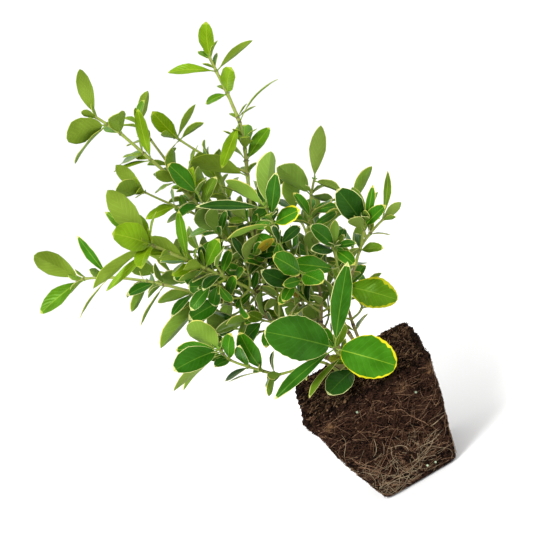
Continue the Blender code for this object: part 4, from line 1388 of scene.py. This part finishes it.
def wood_solids(limbs, twigs):
    """What the leaves must not touch: the part's twigs, limbs and root ball, as search trees."""
    wood = [(name, tube(axis, TWIG_SIDES)) for name, axes in twigs.items() for axis in axes]
    wood += [(name, tube(axis, LIMB_SIDES)) for name, axis in limbs.items()]
    wood.append(("root-ball", root_ball_shape()))
    return [(name, tree_of(shape), tree_of(shape)) for name, shape in wood]


def filling_slot(limb):
    """The slot of the leaves that fill out a limb."""
    return "lime-leaf" if limb == "back-upper-bough" else "green-leaf" if "back" in limb else "edged-leaf"


def fill_shoot(number, axis, solids, bunch, tones):
    """Opposite pairs of leaves on a finer shoot, where there is room, and how many there are."""
    chance = random.Random(f"shoot leaves {number}")
    grown = 0
    for place, (share, length) in enumerate(SHOOT_LEAVES):
        for half in range(2):
            size = length * chance.uniform(0.8, 1.3)
            leaf = fit_leaf("shoot", axis, share, pair_turn(40, place, half), size, chance, solids, LOOSE)
            if leaf:
                add_blade(bunch, leaf, chance.choice(tones), chance)
                grown += 1
    return grown


def fill_limb(name, axis, solids, bunch, tones):
    """Opposite pairs of leaves at a limb's nodes, where there is room."""
    chance = random.Random(f"fill {name}")
    first, last, length = FILL[name]
    count = max(int(axis.lengths[-1] * (last - first) / FILL_SPACING), 1)
    for place in range(count + 1):
        share = first + (last - first) * place / count
        for half in range(2):
            size = length * chance.uniform(0.7, 1.15)
            leaf = fit_leaf(name, axis, share, pair_turn(30, place, half), size, chance, solids, LOOSE)
            if leaf:
                add_blade(bunch, leaf, chance.choice(tones), chance)


def fill_twig(name, axis, turn, pairs, solids, bunch, buds, tones):
    """Two side buds at each pair on a twig, and tiny leaves above it where there is room."""
    chance = random.Random(f"tiny {name} {axis.lengths[-1]:.1f}")
    for place, (share, *_) in enumerate(pairs):
        above = min(share + 0.02, 0.99)
        point, direction, radius = axis.at(share)
        for half in range(2):
            size = chance.uniform(*TINY_LEAF)
            leaf = fit_leaf(name, axis, above, pair_turn(turn + 35, place, half), size, chance, solids)
            if leaf and chance.random() < TINY_SHARE:
                add_blade(bunch, leaf, chance.choice(tones), chance)
            out = rotated(square_to(Vector((1, 0.3, 0)), direction), direction, 80 * place + 180 * half)
            add_bud(buds, point + out * radius * 0.8, (out + direction * 0.8).normalized(), SIDE_BUD)


# The stage


def make_stage():
    """A plain pale floor, soft studio light and the camera at the photograph's angle."""
    bpy.ops.object.select_all(action="DESELECT")
    bpy.ops.mesh.primitive_plane_add(size=FLOOR_SIDE)
    floor = bpy.context.object
    floor.name = "floor"
    finish = Finish("pale-floor", 0.9)
    finish.coloured(finish.mixed(finish.noise(3), (0.93, 0.93, 0.93), (0.96, 0.96, 0.96)))
    floor.data.materials.append(finish.material)
    world = bpy.data.worlds.new("studio")
    bpy.context.scene.world = world
    world.use_nodes = True
    background = world.node_tree.nodes["Background"]
    background.inputs["Color"].default_value = (1, 1, 1, 1)
    background.inputs["Strength"].default_value = SKY
    for name, lamp in LAMPS.items():
        add_lamp(name, *lamp)
    bpy.context.scene.view_settings.view_transform = "Standard"
    add_camera()


def add_lamp(name, place, size, power):
    light = bpy.data.lights.new(name, "AREA")
    light.size = size
    light.energy = power
    lamp = bpy.data.objects.new(name, light)
    lamp.location = place
    lamp.rotation_euler = (Vector(LIT_POINT) - Vector(place)).to_track_quat("-Z", "Y").to_euler()
    bpy.context.scene.collection.objects.link(lamp)


def add_camera():
    """The camera, tipped about its own axis as the photograph shows the plant leaning."""
    azimuth, elevation, roll = (math.radians(d) for d in CAMERA_ANGLES)
    back = Vector((math.sin(azimuth) * math.cos(elevation), -math.cos(azimuth) * math.cos(elevation),
                   math.sin(elevation)))
    right = Vector((math.cos(azimuth), math.sin(azimuth), 0))
    up = back.cross(right)
    turned_right = right * math.cos(roll) + up * math.sin(roll)
    turned_up = up * math.cos(roll) - right * math.sin(roll)
    camera = bpy.data.objects.new("camera", bpy.data.cameras.new("camera"))
    camera.data.sensor_width = SENSOR_WIDTH
    camera.data.lens = FOCAL_PIXELS / PHOTO_SIDE * SENSOR_WIDTH
    camera.data.clip_start = 0.01
    camera.matrix_world = Matrix.Translation((Vector(CAMERA_AIM) + back * CAMERA_DISTANCE) * MM) @ Matrix(
        (turned_right, turned_up, back)).transposed().to_4x4()
    bpy.context.scene.collection.objects.link(camera)
    bpy.context.scene.camera = camera


def main():
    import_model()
    bpy.ops.object.select_all(action="DESELECT")
    make_stage()
    make_finishes()
    limbs = grow_limbs()
    twigs = grow_twigs(limbs)
    shoots = grow_shoots(limbs)
    buds = Bunch()
    make_peat()
    make_crumbs()
    make_rootlets()
    make_stems(limbs)
    leafy_shoots = make_leaves(limbs, twigs, shoots, buds)
    make_twigs(limbs, twigs, leafy_shoots, buds)
    buds.piece("buds", "lime-leaf")


main()
